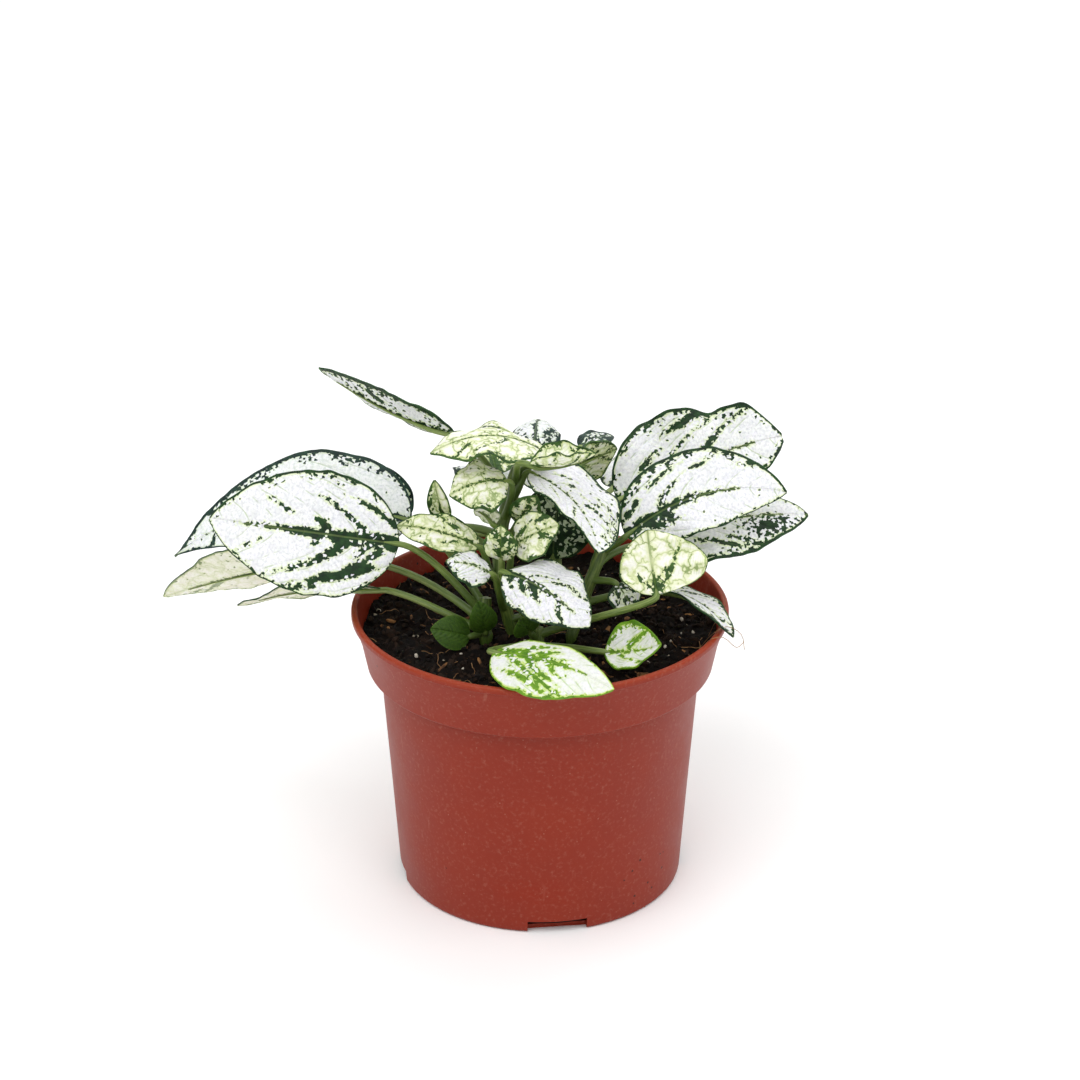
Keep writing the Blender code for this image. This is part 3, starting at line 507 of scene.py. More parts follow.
def petiole_line(leaf, start_gap, rings=14):
    """Points and radii from the stem's side to the blade's base, and on as the keel under the midrib."""
    root = stem_point(leaf.stem, leaf.node)
    base, along = midrib(leaf, 0.0)
    away = Vector((base.x - root.x, base.y - root.y, 0)).normalized()
    rise = math.radians(leaf.rise)
    start_way = away * math.cos(rise) + Vector((0, 0, math.sin(rise)))
    start = root + away * start_gap
    reach = (base - start).length
    first, second = start + start_way * reach * PETIOLE_PULL, base - along * reach * leaf.entry
    points, radii = [], []
    for i in range(rings):
        t = i / rings
        points.append(start * (1 - t) ** 3 + first * 3 * t * (1 - t) ** 2
                      + second * 3 * t**2 * (1 - t) + base * t**3)
        flare = PETIOLE_FLARE * math.exp(-i / FLARE_RINGS)
        radii.append(PETIOLE_RADIUS * (1 + flare - PETIOLE_TAPER * t))
    up = Vector(leaf.face).normalized()
    for t in KEEL_PLACES:
        point, _ = midrib(leaf, t)
        radius = PETIOLE_RADIUS * (KEEL_TIP + KEEL_TAPER * (1 - t) ** 2.5)
        sink = (radius * 0.75 + groove_depth(leaf) * (1 - t)) * min(1.0, t / KEEL_SINK_END)
        points.append(point - up * (KEEL_COVER + sink))
        radii.append(radius)
    return points, radii


def pot_inside(height):
    """The pot's inner radius at a height."""
    heights = [POT_FLOOR, BAND_LOW_HEIGHT - INNER_STEP, BAND_LOW_HEIGHT + INNER_STEP, POT_HEIGHT]
    radii = [POT_BASE_RADIUS - POT_WALL, BODY_TOP_RADIUS - POT_WALL, BAND_LOW_RADIUS - POT_WALL,
             POT_RIM_RADIUS - LIP_STAND - POT_WALL]
    return float(np.interp(height, heights, radii))


def soil_height(x, y):
    """The soil's surface: a low mound with lumps, broken into clods."""
    mound = SOIL_MOUND * (1 - (math.hypot(x, y) / SOIL_RADIUS) ** 2)
    lumps = math.sin(0.31 * x + 1.7) * math.sin(0.27 * y + 0.4) + 0.6 * math.sin(0.53 * x - 0.47 * y)
    clods = noise.fractal(Vector((x * 0.16, y * 0.16, 3.0)), 1.0, 2.1, 5)
    pits = noise.noise(Vector((x * 0.55, y * 0.55, 9.0)))
    return SOIL_LEVEL + mound + SOIL_LUMP * lumps + SOIL_CLOD * clods + SOIL_PIT * pits - SOIL_DROP


# ---------------------------------------------------------------- making and finishing pieces

def deselect():
    bpy.ops.object.select_all(action="DESELECT")


def take(*objs):
    """Selects these objects alone, the first of them active."""
    deselect()
    for obj in objs:
        obj.select_set(True)
    bpy.context.view_layer.objects.active = objs[0]


def apply_modifiers(obj):
    take(obj)
    for modifier in list(obj.modifiers):
        bpy.ops.object.modifier_apply(modifier=modifier.name)


def join(objs):
    take(*objs)
    if len(objs) > 1:
        bpy.ops.object.join()
    return objs[0]


def smooth(obj, degrees=60):
    take(obj)
    bpy.ops.object.shade_smooth_by_angle(angle=math.radians(degrees))


def finish_piece(obj, name, slot, *nodes):
    """Names a piece, hangs it on the plant's body and hides the plain parts that it stands for."""
    obj.name = name
    obj.data.name = name
    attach(obj, "root")
    if nodes:
        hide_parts(*nodes)


def set_attribute(mesh, name, rows):
    """Keeps a vector for each vertex under a name that the materials read."""
    made = mesh.attributes.new(name, "FLOAT_VECTOR", "POINT")
    made.data.foreach_set("vector", np.asarray(rows, np.float32).ravel())


def line_frames(points):
    """The two directions across a line at each of its points, turned as little as possible."""
    frames = []
    side = None
    for i in range(len(points)):
        along = (points[min(i + 1, len(points) - 1)] - points[max(i - 1, 0)]).normalized()
        if side is None:
            side = along.orthogonal().normalized()
        side = (side - along * side.dot(along)).normalized()
        frames.append((side, along.cross(side)))
    return frames


def add_tube(points, radii, sides):
    """A closed tube: a cylinder cut into a ring for each point, its rings moved to the line."""
    deselect()
    bpy.ops.mesh.primitive_cylinder_add(vertices=sides, radius=1, depth=1, end_fill_type="NGON")
    tube = bpy.context.object
    bpy.ops.object.mode_set(mode="EDIT")
    bpy.ops.mesh.select_mode(type="EDGE")
    bpy.ops.mesh.select_all(action="DESELECT")
    shape = bmesh.from_edit_mesh(tube.data)
    for edge in shape.edges:
        runs_along = abs(edge.verts[0].co.z - edge.verts[1].co.z) > 0.5
        if runs_along:
            edge.select_set(True)
    bmesh.update_edit_mesh(tube.data)
    bpy.ops.mesh.subdivide(number_cuts=len(points) - 2)
    bpy.ops.object.mode_set(mode="OBJECT")
    frames = line_frames(points)
    travelled = [0.0]
    for a, b in zip(points, points[1:]):
        travelled.append(travelled[-1] + (b - a).length)
    skin = []
    for vert in tube.data.vertices:
        ring = round((vert.co.z + 0.5) * (len(points) - 1))
        side, over = frames[ring]
        across = (side * vert.co.x + over * vert.co.y) * radii[ring]
        skin.append((vert.co.x, vert.co.y, travelled[ring]))
        vert.co = (points[ring] + across) * MM
    set_attribute(tube.data, "stalk_place", skin)
    return tube


def vein_phase(x, y, length, half):
    """Which side vein a spot lies on, counted from the base: whole numbers are on a vein."""
    return (y - VEIN_SLOPE * abs(x) - VEIN_BEND / half * x * x) * SIDE_VEINS / length + 0.5


def scattered_veins(rng, chance=0.45):
    """Green side veins drawn at random, for a blade without its own list."""
    veins = []
    for number in range(1, SIDE_VEINS):
        for hand in (1, -1):
            if rng.random() < chance:
                which = hand * (number + rng.uniform(-0.2, 0.2))
                start = max(0.0, rng.uniform(-0.4, 0.6))
                veins.append((which, start, start + rng.uniform(0.1, 0.4), rng.uniform(0.5, 1.5)))
    return veins


def blade_marks(leaf, finish, length, place, rng):
    """For each vertex: how far inside the green it lies, the margin's breadth and the share of dots."""
    x, y = place[:, 0], place[:, 1]
    reach = np.abs(x)
    t = y / length
    side = np.where(x > 0, 1, -1)
    splash = finish.spine * np.clip(1 - t / finish.reach, 0, 1) ** 0.8 - reach
    far_out = -9.0
    splash = np.where(t > finish.reach, far_out, splash)
    bend = VEIN_BEND / leaf.half_width
    wide = leaf.half_width * (1 + leaf.lean * side)
    out = reach / wide
    veins = scattered_veins(rng) if finish.veins is None else finish.veins
    for number, start, end, half in veins:
        line = (abs(number) - 0.5) * length / SIDE_VEINS + VEIN_SLOPE * reach + bend * reach**2
        off = (y - line) / np.sqrt(1 + (VEIN_SLOPE + 2 * bend * reach) ** 2)
        beyond = np.maximum(np.maximum(start - out, out - end), 0) * leaf.half_width
        beyond = np.where(side * number > 0, beyond, beyond + 2 * reach)
        taper = 1 - 0.5 * np.clip((out - start) / (end - start), 0, 1)
        splash = np.maximum(splash, half * taper - np.hypot(off, beyond))
    margin = np.where(x > 0, finish.margin[0], finish.margin[1])
    dots = np.full_like(x, finish.speckle)
    for along, across, radius, share in finish.patches:
        away = np.hypot((t - along) * 1.6, x / wide - across) / radius
        dots = np.maximum(dots, share * np.clip(1.4 - away, 0, 1))
    return np.stack([splash, margin, dots], axis=1)


def relief_height(leaf, seed, length, s, t, wide):
    """How far a spot stands off the plainly bent blade: quilting, the midrib's groove, swells and frill."""
    size = leaf.half_width / RELIEF_HALF_WIDTH
    x, y = s * wide, t * length
    between = math.sin(math.pi * (vein_phase(x, y, length, leaf.half_width) % 1.0))
    fading = min(1.0, 3 * (1 - abs(s))) * min(1.0, abs(x) / 2.5)  # at the margin and at the midrib
    quilt = QUILT_HEIGHT * size * (between**0.7 - 0.6) * fading
    groove = -groove_depth(leaf) * math.exp(-(x / GROOVE_HALF_BREADTH) ** 2) * (1 - t)
    swell = SWELL_HEIGHT * size * noise.noise(Vector((x * 0.09, y * 0.09, seed * 7.3))) * abs(s)
    hand = math.copysign(1, s)
    frill = FRILL_HEIGHT * size * noise.noise(Vector((y * 0.35, hand * 4, seed * 3.1))) * abs(s) ** 4
    return quilt + groove + swell + frill


def add_blade(leaf, finish, seed, thickness, materials):
    """A blade: a fine grid bent to the leaf's form, quilted between its veins, then thickened."""
    deselect()
    bpy.ops.mesh.primitive_grid_add(x_subdivisions=leaf.columns, y_subdivisions=leaf.rows, size=2)
    blade = bpy.context.object
    mesh = blade.data
    length = leaf_length(leaf)
    rows = {}
    place = []
    for vert in mesh.vertices:
        s, v = vert.co.x, (vert.co.y + 1) / 2
        t = 0.7 * v + 0.3 * (1 - math.cos(math.pi * v)) / 2  # rows stand closer at both ends
        key = round(v, 5)
        if key not in rows:
            rows[key] = (blade_frame(leaf, t), {hand: side_width(leaf, hand, t) for hand in (1, -1)})
        spot, widths = rows[key]
        hand = math.copysign(1, s)
        wide = widths[hand]
        x, y = s * wide, t * length
        ragged = 1 + RAGGED_SHARE * noise.noise(Vector((y * 0.22, hand * 9, seed)))
        point = blade_point(leaf, s * ragged, t, spot)
        vert.co = (point + spot[2] * relief_height(leaf, seed, length, s, t, wide)) * MM
        place.append((x, y, (1 - abs(s)) * wide))
    place = np.array(place)
    set_attribute(mesh, "leaf_place", place)
    set_attribute(mesh, "leaf_traits", [(seed, length, leaf.half_width)] * len(place))
    set_attribute(mesh, "leaf_marks", blade_marks(leaf, finish, length, place, random.Random(seed * 100)))
    for made in materials:
        mesh.materials.append(made)
    skin = blade.modifiers.new("thickness", "SOLIDIFY")
    skin.thickness = thickness * MM
    skin.offset = 0.0
    skin.material_offset = 1
    skin.material_offset_rim = 0
    apply_modifiers(blade)
    return blade


# ---------------------------------------------------------------- materials

class Net:
    """Adds nodes to one material or group, and wires what it is given."""

    def __init__(self, tree):
        self.tree = tree

    def add(self, kind, **settings):
        node = self.tree.nodes.new(kind)
        for key, value in settings.items():
            setattr(node, key, value)
        return node

    def feed(self, socket, value):
        """Links what changes over the surface, and sets a constant on the socket itself."""
        if isinstance(value, bpy.types.NodeSocket):
            self.tree.links.new(value, socket)
        else:
            socket.default_value = value

    def fill(self, sockets, values):
        """Feeds sockets by their names."""
        for name, value in values.items():
            self.feed(sockets[name], value)

    def math(self, operation, *values):
        node = self.add("ShaderNodeMath", operation=operation)
        for socket, value in zip(node.inputs, values):
            self.feed(socket, value)
        return node.outputs[0]

    def plus(self, first, second):
        return self.math("ADD", first, second)

    def minus(self, first, second):
        return self.math("SUBTRACT", first, second)

    def times(self, first, second):
        return self.math("MULTIPLY", first, second)

    def scaled(self, value, factor, offset):
        return self.math("MULTIPLY_ADD", value, factor, offset)

    def most(self, first, second):
        return self.math("MAXIMUM", first, second)

    def above(self, value, limit):
        return self.math("GREATER_THAN", value, limit)

    def vector(self, operation, *values):
        node = self.add("ShaderNodeVectorMath", operation=operation)
        for socket, value in zip(node.inputs, values):
            self.feed(socket, value)
        return node.outputs["Value" if operation == "LENGTH" else "Vector"]

    def split(self, vector):
        node = self.add("ShaderNodeSeparateXYZ")
        self.feed(node.inputs[0], vector)
        return tuple(node.outputs)

    def combine(self, x, y, z=0.0):
        node = self.add("ShaderNodeCombineXYZ")
        self.fill(node.inputs, {"X": x, "Y": y, "Z": z})
        return node.outputs[0]

    def noise(self, place, scale, detail=2.0, rough=0.5, out="Fac"):
        node = self.add("ShaderNodeTexNoise")
        self.fill(node.inputs, {"Vector": place, "Scale": scale, "Detail": detail, "Roughness": rough})
        return node.outputs[out]

    def cells(self, place, scale, feature="F1", **settings):
        node = self.add("ShaderNodeTexVoronoi", feature=feature, **settings)
        self.fill(node.inputs, {"Vector": place, "Scale": scale})
        return node.outputs

    def ramp(self, value, low, high, start=0.0, end=1.0, kind="SMOOTHSTEP"):
        node = self.add("ShaderNodeMapRange", interpolation_type=kind)
        self.fill(node.inputs, {"Value": value, "From Min": low, "From Max": high,
                                "To Min": start, "To Max": end})
        return node.outputs["Result"]

    def fade(self, value, low, high):
        """1 up to low, 0 from high on."""
        return self.ramp(value, low, high, start=1.0, end=0.0)

    def mix(self, share, first, second):
        node = self.add("ShaderNodeMix", data_type="RGBA")
        for socket, value in ((0, share), (6, first), (7, second)):  # the factor and the two colours
            self.feed(node.inputs[socket], value)
        return node.outputs[2]

    def tinge(self, colour, mask, share, second):
        """A colour with a second one laid over it, at most by the share, where the mask is."""
        return self.mix(self.times(mask, share), colour, second)

    def attribute(self, name):
        return self.add("ShaderNodeAttribute", attribute_name=name).outputs["Vector"]

    def object_place(self):
        return self.add("ShaderNodeTexCoord").outputs["Object"]

    def bump(self, height, strength, distance):
        node = self.add("ShaderNodeBump")
        self.fill(node.inputs, {"Height": height, "Strength": strength, "Distance": distance})
        return node.outputs["Normal"]

    def group(self, tree, values):
        node = self.add("ShaderNodeGroup", node_tree=tree)
        self.fill(node.inputs, values)
        return node.outputs


def new_group(name, vectors, numbers, outputs):
    """A shader node group with its sockets, and the net that fills it. All outputs are numbers."""
    tree = bpy.data.node_groups.new(name, "ShaderNodeTree")
    for socket in vectors:
        tree.interface.new_socket(socket, in_out="INPUT", socket_type="NodeSocketVector")
    for socket, value in numbers.items():
        made = tree.interface.new_socket(socket, in_out="INPUT", socket_type="NodeSocketFloat")
        made.default_value = value
    for socket in outputs:
        tree.interface.new_socket(socket, in_out="OUTPUT", socket_type="NodeSocketFloat")
    net = Net(tree)
    return tree, net, net.add("NodeGroupInput").outputs, net.add("NodeGroupOutput").inputs


def new_material(name):
    """A material with a bare Principled shader, and the net that fills it."""
    made = bpy.data.materials.new(name)
    made.use_nodes = True
    return made, Net(made.node_tree), made.node_tree.nodes["Principled BSDF"].inputs


def green_score(net, marks, edge, cell, ragged, broad):
    """Above nought where a cell is green: along the veins, at the margin's teeth and in loose dots."""
    splash, margin, share = net.split(marks)
    first, second, third = net.split(cell["Color"])  # each cell's own draws

    # The green along the midrib and the side veins, with pale islands in it
    score = net.plus(splash, net.times(ragged, SPLASH_RAGGED))
    score = net.plus(score, net.minus(first, 0.5))
    score = net.minus(score, net.times(net.above(second, 1 - ISLAND_SHARE), ISLAND_DEPTH))

    # The margin and its teeth
    tooth = net.times(net.math("POWER", third, 2.5), net.ramp(broad, 0.32, 0.6))
    band = net.times(margin, net.scaled(tooth, TOOTH_LENGTH, MARGIN_LEAST))
    score = net.most(score, net.minus(band, edge))

    # Loose dots, closer together where there are many
    radius = net.scaled(share, DOT_GROWTH, DOT_RADIUS)
    inside = net.minus(radius, cell["Distance"])
    chosen = net.above(third, net.minus(1.0, share))
    dot = net.minus(net.times(chosen, net.plus(inside, 2.0)), 2.0)  # far below nought where not chosen
    return net.most(score, dot)


def side_vein_distance(net, x, y, length, half, ragged):
    """How far a spot is from the nearest side vein. The veins bend as vein_phase says."""
    reach = net.math("ABSOLUTE", x)
    bend = net.math("DIVIDE", VEIN_BEND, half)
    ahead = net.times(reach, net.scaled(reach, bend, VEIN_SLOPE))
    spacing = net.math("DIVIDE", length, SIDE_VEINS)
    phase = net.math("FRACT", net.math("DIVIDE", net.minus(y, ahead), spacing))
    off = net.times(net.math("ABSOLUTE", net.minus(phase, 0.5)), spacing)
    lead = net.scaled(net.times(reach, bend), 2.0, VEIN_SLOPE)
    lean = net.math("SQRT", net.scaled(lead, lead, 1.0))
    off = net.plus(net.math("DIVIDE", off, lean), net.times(ragged, VEIN_RAGGED))
    return net.math("ABSOLUTE", off)


def variegation_group():
    """How a blade is marked, in millimetres on the blade.

    Place is across, along and in from the margin. Traits are seed, length and half width. Marks are the
    depth inside the green of midrib and side veins, the margin's breadth and the share of dots. Cell Scale
    is the number of cells to a millimetre: the green ends cell by cell, as the leaf grows it.
    """
    name = "leaf_variegation"
    found = bpy.data.node_groups.get(name)
    if found:
        return found
    tree, net, given, out = new_group(
        name, ("Place", "Traits", "Marks"), {"Cell Scale": 1.15},
        ("Green", "Halo", "Vein", "Net", "Net Glow", "Rib", "Rim", "Patch", "Mottle", "Relief"))
    x, y, edge = net.split(given["Place"])
    seed, length, half = net.split(given["Traits"])
    shift = net.combine(net.times(seed, 61.3), net.times(seed, 37.7))
    placed = net.vector("ADD", net.combine(x, y), shift)
    wobble = net.vector("SUBTRACT", net.noise(placed, 0.35, out="Color"), (0.5, 0.5, 0.5))
    placed = net.vector("ADD", placed, net.vector("MULTIPLY", wobble, (CELL_BEND, CELL_BEND, 0.0)))
    cell = net.cells(placed, given["Cell Scale"], distance="CHEBYCHEV", voronoi_dimensions="2D")
    ragged = net.minus(net.noise(placed, 0.42, rough=0.6), 0.5)
    broad = net.noise(placed, 0.16, detail=1.0)
    score = green_score(net, given["Marks"], edge, cell, ragged, broad)

    # The midrib, and the side veins, which come and go
    rib = net.fade(net.math("ABSOLUTE", x), 0.12, 0.5)
    off = side_vein_distance(net, x, y, length, half, ragged)
    thread = net.times(net.fade(off, 0.05, 0.3), net.ramp(broad, 0.44, 0.60))
    thread = net.times(thread, net.ramp(edge, 0.3, 2.0))

    # The network of fine veins that young leaves show
    bent = net.vector("ADD", placed, net.vector("MULTIPLY", wobble, (NET_BEND, NET_BEND, 0.0)))
    lines = net.cells(bent, NET_SCALE, "DISTANCE_TO_EDGE", voronoi_dimensions="2D")
    gap = net.scaled(lines["Distance"], NET_MESH, net.times(ragged, 0.5))
    gap = net.math("MINIMUM", gap, net.times(net.math("ABSOLUTE", x), 0.7))
    shown = net.ramp(broad, 0.3, 0.62, start=0.25)

    fine = net.noise(placed, 1.1, detail=3.0, rough=0.6)
    sunk = net.times(net.ramp(off, 0.0, 0.7, start=0.7, end=0.0), 0.4)
    relief = net.minus(net.times(fine, 0.8), sunk)
    net.fill(out, {
        "Green": net.ramp(score, -0.05, 0.05, kind="LINEAR"),
        "Halo": net.ramp(score, -0.9, 0.05),
        "Vein": thread,
        "Net": net.times(net.fade(gap, 0.1, 0.4), shown),
        "Net Glow": net.fade(gap, 0.1, 1.6),
        "Rib": rib,
        "Rim": net.fade(edge, 0.0, 1.4),
        "Patch": net.noise(placed, 0.30, detail=3.0, rough=0.6),
        "Mottle": fine,
        "Relief": net.minus(relief, net.times(rib, 0.9)),
    })
    return tree


@dataclass
class LeafLook:
    """The colours of one kind of blade, and how plainly each marking shows."""

    pale: tuple
    shade: tuple  # the duller pale of blotches
    halo: tuple  # round the green
    green: tuple
    deep: tuple  # the darker green of blotches
    vein: tuple
    vein_share: float = 0.5
    halo_share: float = 0.6
    net_share: float = 0.0  # how plainly the fine network of veins shows
    rim_share: float = 0.1  # how far the halo's colour runs along the margin
    green_share: float = 1.0
    cells: float = 1.15  # cells to a millimetre
    roughness: float = 0.5


LOOKS = {
    "mature": LeafLook(tint(236, 237, 238), tint(208, 209, 214), tint(206, 222, 150), tint(30, 65, 27),
                       tint(15, 40, 19), tint(144, 166, 98)),
    "cool": LeafLook(tint(235, 237, 238), tint(206, 212, 211), tint(194, 210, 172), tint(28, 57, 46),
                     tint(14, 35, 33), tint(140, 160, 120)),
    "young": LeafLook(tint(242, 242, 232), tint(230, 232, 214), tint(204, 213, 150), tint(62, 94, 36),
                      tint(38, 68, 26), tint(104, 132, 52), vein_share=0.2, halo_share=0.75, net_share=0.72,
                      rim_share=0.4),
    "lime": LeafLook(tint(228, 230, 227), tint(214, 217, 214), tint(184, 208, 84), tint(106, 150, 22),
                     tint(76, 120, 18), tint(140, 174, 70), halo_share=0.9, net_share=0.1, rim_share=0.8),
    # painted shade: the deep kind is the mature finish darkened, for a leaf that lies in shade in the
    # plant's centre
    "deep": LeafLook(tint(196, 204, 184), tint(170, 180, 158), tint(140, 162, 100), tint(30, 58, 28),
                     tint(16, 36, 18), tint(110, 132, 76)),
    "under": LeafLook(tint(243, 243, 234), tint(232, 234, 216), tint(204, 212, 160), tint(108, 130, 78),
                      tint(82, 106, 56), tint(168, 182, 122), vein_share=0.3, halo_share=0.5, net_share=0.3,
                      rim_share=0.3, green_share=0.75),
    "seedling": LeafLook(tint(58, 88, 18), tint(44, 72, 14), tint(68, 98, 24), tint(54, 84, 18),
                         tint(38, 62, 12), tint(88, 114, 38), vein_share=0.25),
}


def leaf_material(kind):
    """The blade's finish: pale tissue with green cells, a yellow-green edge round them, and its veins."""
    name = f"leaf_{kind}"
    found = bpy.data.materials.get(name)
    if found:
        return found
    look = LOOKS[kind]
    made, net, shader = new_material(name)
    marks = net.group(variegation_group(), {
        "Place": net.attribute("leaf_place"), "Traits": net.attribute("leaf_traits"),
        "Marks": net.attribute("leaf_marks"), "Cell Scale": look.cells})
    pale = net.mix(net.ramp(marks["Mottle"], 0.3, 0.6), look.shade, look.pale)
    colour = net.mix(net.ramp(marks["Patch"], 0.45, 0.75, end=0.6), pale, look.shade)
    colour = net.tinge(colour, marks["Halo"], look.halo_share, look.halo)
    colour = net.tinge(colour, marks["Rim"], look.rim_share, look.halo)
    if look.net_share:
        colour = net.tinge(colour, marks["Net Glow"], look.net_share, look.halo)
        colour = net.tinge(colour, marks["Net"], look.net_share, look.vein)
    colour = net.tinge(colour, marks["Vein"], look.vein_share, look.vein)
    green = net.mix(net.ramp(marks["Patch"], 0.35, 0.65), look.green, look.deep)
    green = net.tinge(green, marks["Vein"], 0.1, look.vein)
    green = net.tinge(green, marks["Rib"], 0.3, look.vein)
    rough = net.scaled(marks["Green"], -0.08, look.roughness)
    net.fill(shader, {
        "Base Color": net.tinge(colour, marks["Green"], look.green_share, green),
        "Roughness": net.scaled(marks["Mottle"], 0.08, rough),
        "Normal": net.bump(marks["Relief"], strength=0.6, distance=0.0007),
        "Specular IOR Level": 0.25,
        "Subsurface Weight": 0.4,
        "Subsurface Radius": (1.0, 1.2, 0.7),
        "Subsurface Scale": 0.001,
    })
    return made


def stalk_material(name, young, dark_and_shade, pale):
    """A juicy green stalk, streaked lengthwise, with painted shade that makes it darker and browner towards
    its foot, and a painted highlight that lightens one side.
    """
    made, net, shader = new_material(name)
    round_x, round_y, along = net.split(net.attribute("stalk_place"))
    drawn_out = net.combine(round_x, round_y, net.times(along, 0.05))
    streak = net.noise(drawn_out, 3.5, detail=3.0, rough=0.6)
    blotch = net.noise(net.combine(round_x, round_y, along), 0.5, rough=0.6)
    colour = net.mix(net.ramp(streak, 0.35, 0.68), dark_and_shade, young)
    # painted highlight: one side of the stalk is lightened towards the pale colour
    colour = net.mix(net.ramp(round_x, 0.1, 1.0, end=0.55), colour, pale)
    colour = net.mix(net.ramp(blotch, 0.6, 0.8, end=0.35), colour, dark_and_shade)
    net.fill(shader, {
        # painted shade: darker and browner towards the foot, where the plant's centre lies in shade
        "Base Color": net.mix(net.ramp(along, 2.0, 22.0, start=0.75, end=0.0), colour, dark_and_shade),
        "Roughness": net.ramp(streak, 0.2, 0.8, start=0.36, end=0.5),
        "Normal": net.bump(streak, strength=0.35, distance=0.0003),
    })
    return made


def weathering_group():
    """Fine specks, grit, smudges, scratches and a stain on the pot, from the place in metres."""
    name = "plastic_wear"
    found = bpy.data.node_groups.get(name)
    if found:
        return found
    tree, net, given, out = new_group(
        name, ("Place",), {}, ("Pale Speck", "Dark Speck", "Smudge", "Scratch", "Grain", "Stain"))
    place = given["Place"]

    dust = net.cells(place, 1300.0)
    _, lot, _ = net.split(dust["Color"])
    pale_radius = net.ramp(lot, 0.978, 1.0, end=0.32, kind="LINEAR")

    # Grit lies closer together round one place near the foot
    grit = net.cells(net.vector("ADD", place, (0.37, 0.11, 0.23)), 520.0)
    _, grit_lot, _ = net.split(grit["Color"])
    away = net.vector("LENGTH", net.vector("SUBTRACT", place, GRIT_PLACE))
    limit = net.ramp(away, 0.002, 0.02, start=0.86, end=0.996)
    dark_radius = net.times(net.above(grit_lot, limit), 0.24)

    slanted = net.vector("MULTIPLY", place, (60.0, 60.0, 9.0))
    scratch = net.noise(net.vector("ADD", slanted, (3.0, 1.0, 7.0)), 4.0, rough=0.7)
    smear = net.vector("MULTIPLY", net.vector("SUBTRACT", place, STAIN_PLACE), STAIN_SHARPNESS)
    flattened = net.vector("MULTIPLY", place, (1.0, 1.0, 3.0))
    uneven = net.times(net.noise(flattened, 130.0, detail=3.0, rough=0.6), 1.6)
    net.fill(out, {
        "Pale Speck": net.math("LESS_THAN", dust["Distance"], pale_radius),
        "Dark Speck": net.math("LESS_THAN", grit["Distance"], dark_radius),
        "Smudge": net.ramp(net.noise(place, 38.0, detail=3.0, rough=0.6), 0.35, 0.75),
        "Scratch": net.ramp(scratch, 0.66, 0.74),
        "Grain": net.noise(place, 900.0, rough=0.6),
        "Stain": net.fade(net.plus(net.vector("LENGTH", smear), uneven), 0.9, 2.0),
    })
    return tree


def pot_material(settings):
    """Matt terracotta-coloured plastic with a faint grain, dust and grit, and a painted highlight along the
    top of the lip.
    """
    made, net, shader = new_material("terracotta_plastic_fine")
    place = net.object_place()
    wear = net.group(weathering_group(), {"Place": place})
    dusty = settings.dust_colour
    colour = net.tinge(settings.colour, wear["Smudge"], 0.35, settings.warm_colour)
    # painted highlight: the top of the rolled lip is painted lighter, where light from above falls on it
    lip = net.ramp(net.split(place)[2], (POT_HEIGHT - 1.6) * MM, (POT_HEIGHT - 0.2) * MM, end=0.7)
    colour = net.mix(lip, colour, settings.lip_highlight_colour)
    colour = net.tinge(colour, wear["Stain"], 0.7, settings.stain_colour)
    colour = net.mix(net.ramp(wear["Grain"], 0.5, 0.8, end=0.16), colour, dusty)
    colour = net.tinge(colour, wear["Scratch"], 0.12, dusty)
    colour = net.tinge(colour, wear["Pale Speck"], 0.35, dusty)
    net.fill(shader, {
        "Base Color": net.tinge(colour, wear["Dark Speck"], 0.85, tint(30, 16, 12)),
        "Roughness": net.scaled(wear["Smudge"], 0.10, 0.40),
        "Normal": net.bump(wear["Grain"], strength=0.12, distance=0.0002),
        "Specular IOR Level": 0.22,
    })
    return made


def soil_material(settings):
    """Damp peat: near black, with brown fibres and lighter crumbs in it."""
    made, net, shader = new_material("peat_fine")
    place = net.object_place()
    coarse = net.noise(place, 160.0, detail=5.0, rough=0.65)
    fine = net.noise(place, 900.0, detail=4.0, rough=0.7)
    fibre = net.noise(net.vector("MULTIPLY", place, (1.0, 3.5, 1.0)), 420.0, detail=3.0, rough=0.7)
    colour = net.mix(net.ramp(coarse, 0.35, 0.7), settings.colour, settings.brown)
    colour = net.mix(net.ramp(fibre, 0.62, 0.72, end=0.6), colour, tint(92, 62, 36))
    height = net.plus(coarse, net.times(fine, 0.6))
    net.fill(shader, {
        "Base Color": net.mix(net.ramp(fine, 0.5, 0.8, end=0.35), colour, tint(12, 8, 6)),
        "Roughness": net.ramp(coarse, 0.3, 0.7, start=0.75, end=0.95),
        "Normal": net.bump(height, strength=0.9, distance=0.0008),
        "Specular IOR Level": 0.12,
    })
    return made


def bit_material(name, first, second, roughness):
    """A loose bit in the soil: two tones broken up by a fine grain."""
    made, net, shader = new_material(name)
    place = net.object_place()
    lot = net.noise(place, 260.0, rough=0.6)
    grain = net.noise(place, 1800.0, detail=3.0, rough=0.7)
    colour = net.mix(net.ramp(lot, 0.38, 0.62), first, second)
    net.fill(shader, {
        "Base Color": net.mix(net.ramp(grain, 0.5, 0.8, end=0.4), colour, first),
        "Roughness": net.ramp(grain, 0.2, 0.8, start=roughness - 0.1, end=roughness),
        "Normal": net.bump(grain, strength=0.5, distance=0.0003),
        "Specular IOR Level": 0.2,
    })
    return made


def floor_material(colour):
    """A pale, faintly mottled studio floor."""
    made, net, shader = new_material("studio_floor")
    cloud = net.noise(net.object_place(), 3.0)
    net.fill(shader, {
        "Base Color": net.mix(net.ramp(cloud, 0.3, 0.7, end=0.4), colour, WHITE),
        "Roughness": net.ramp(cloud, 0.3, 0.7, start=0.7, end=0.8),
    })
    return made


# ---------------------------------------------------------------- pot

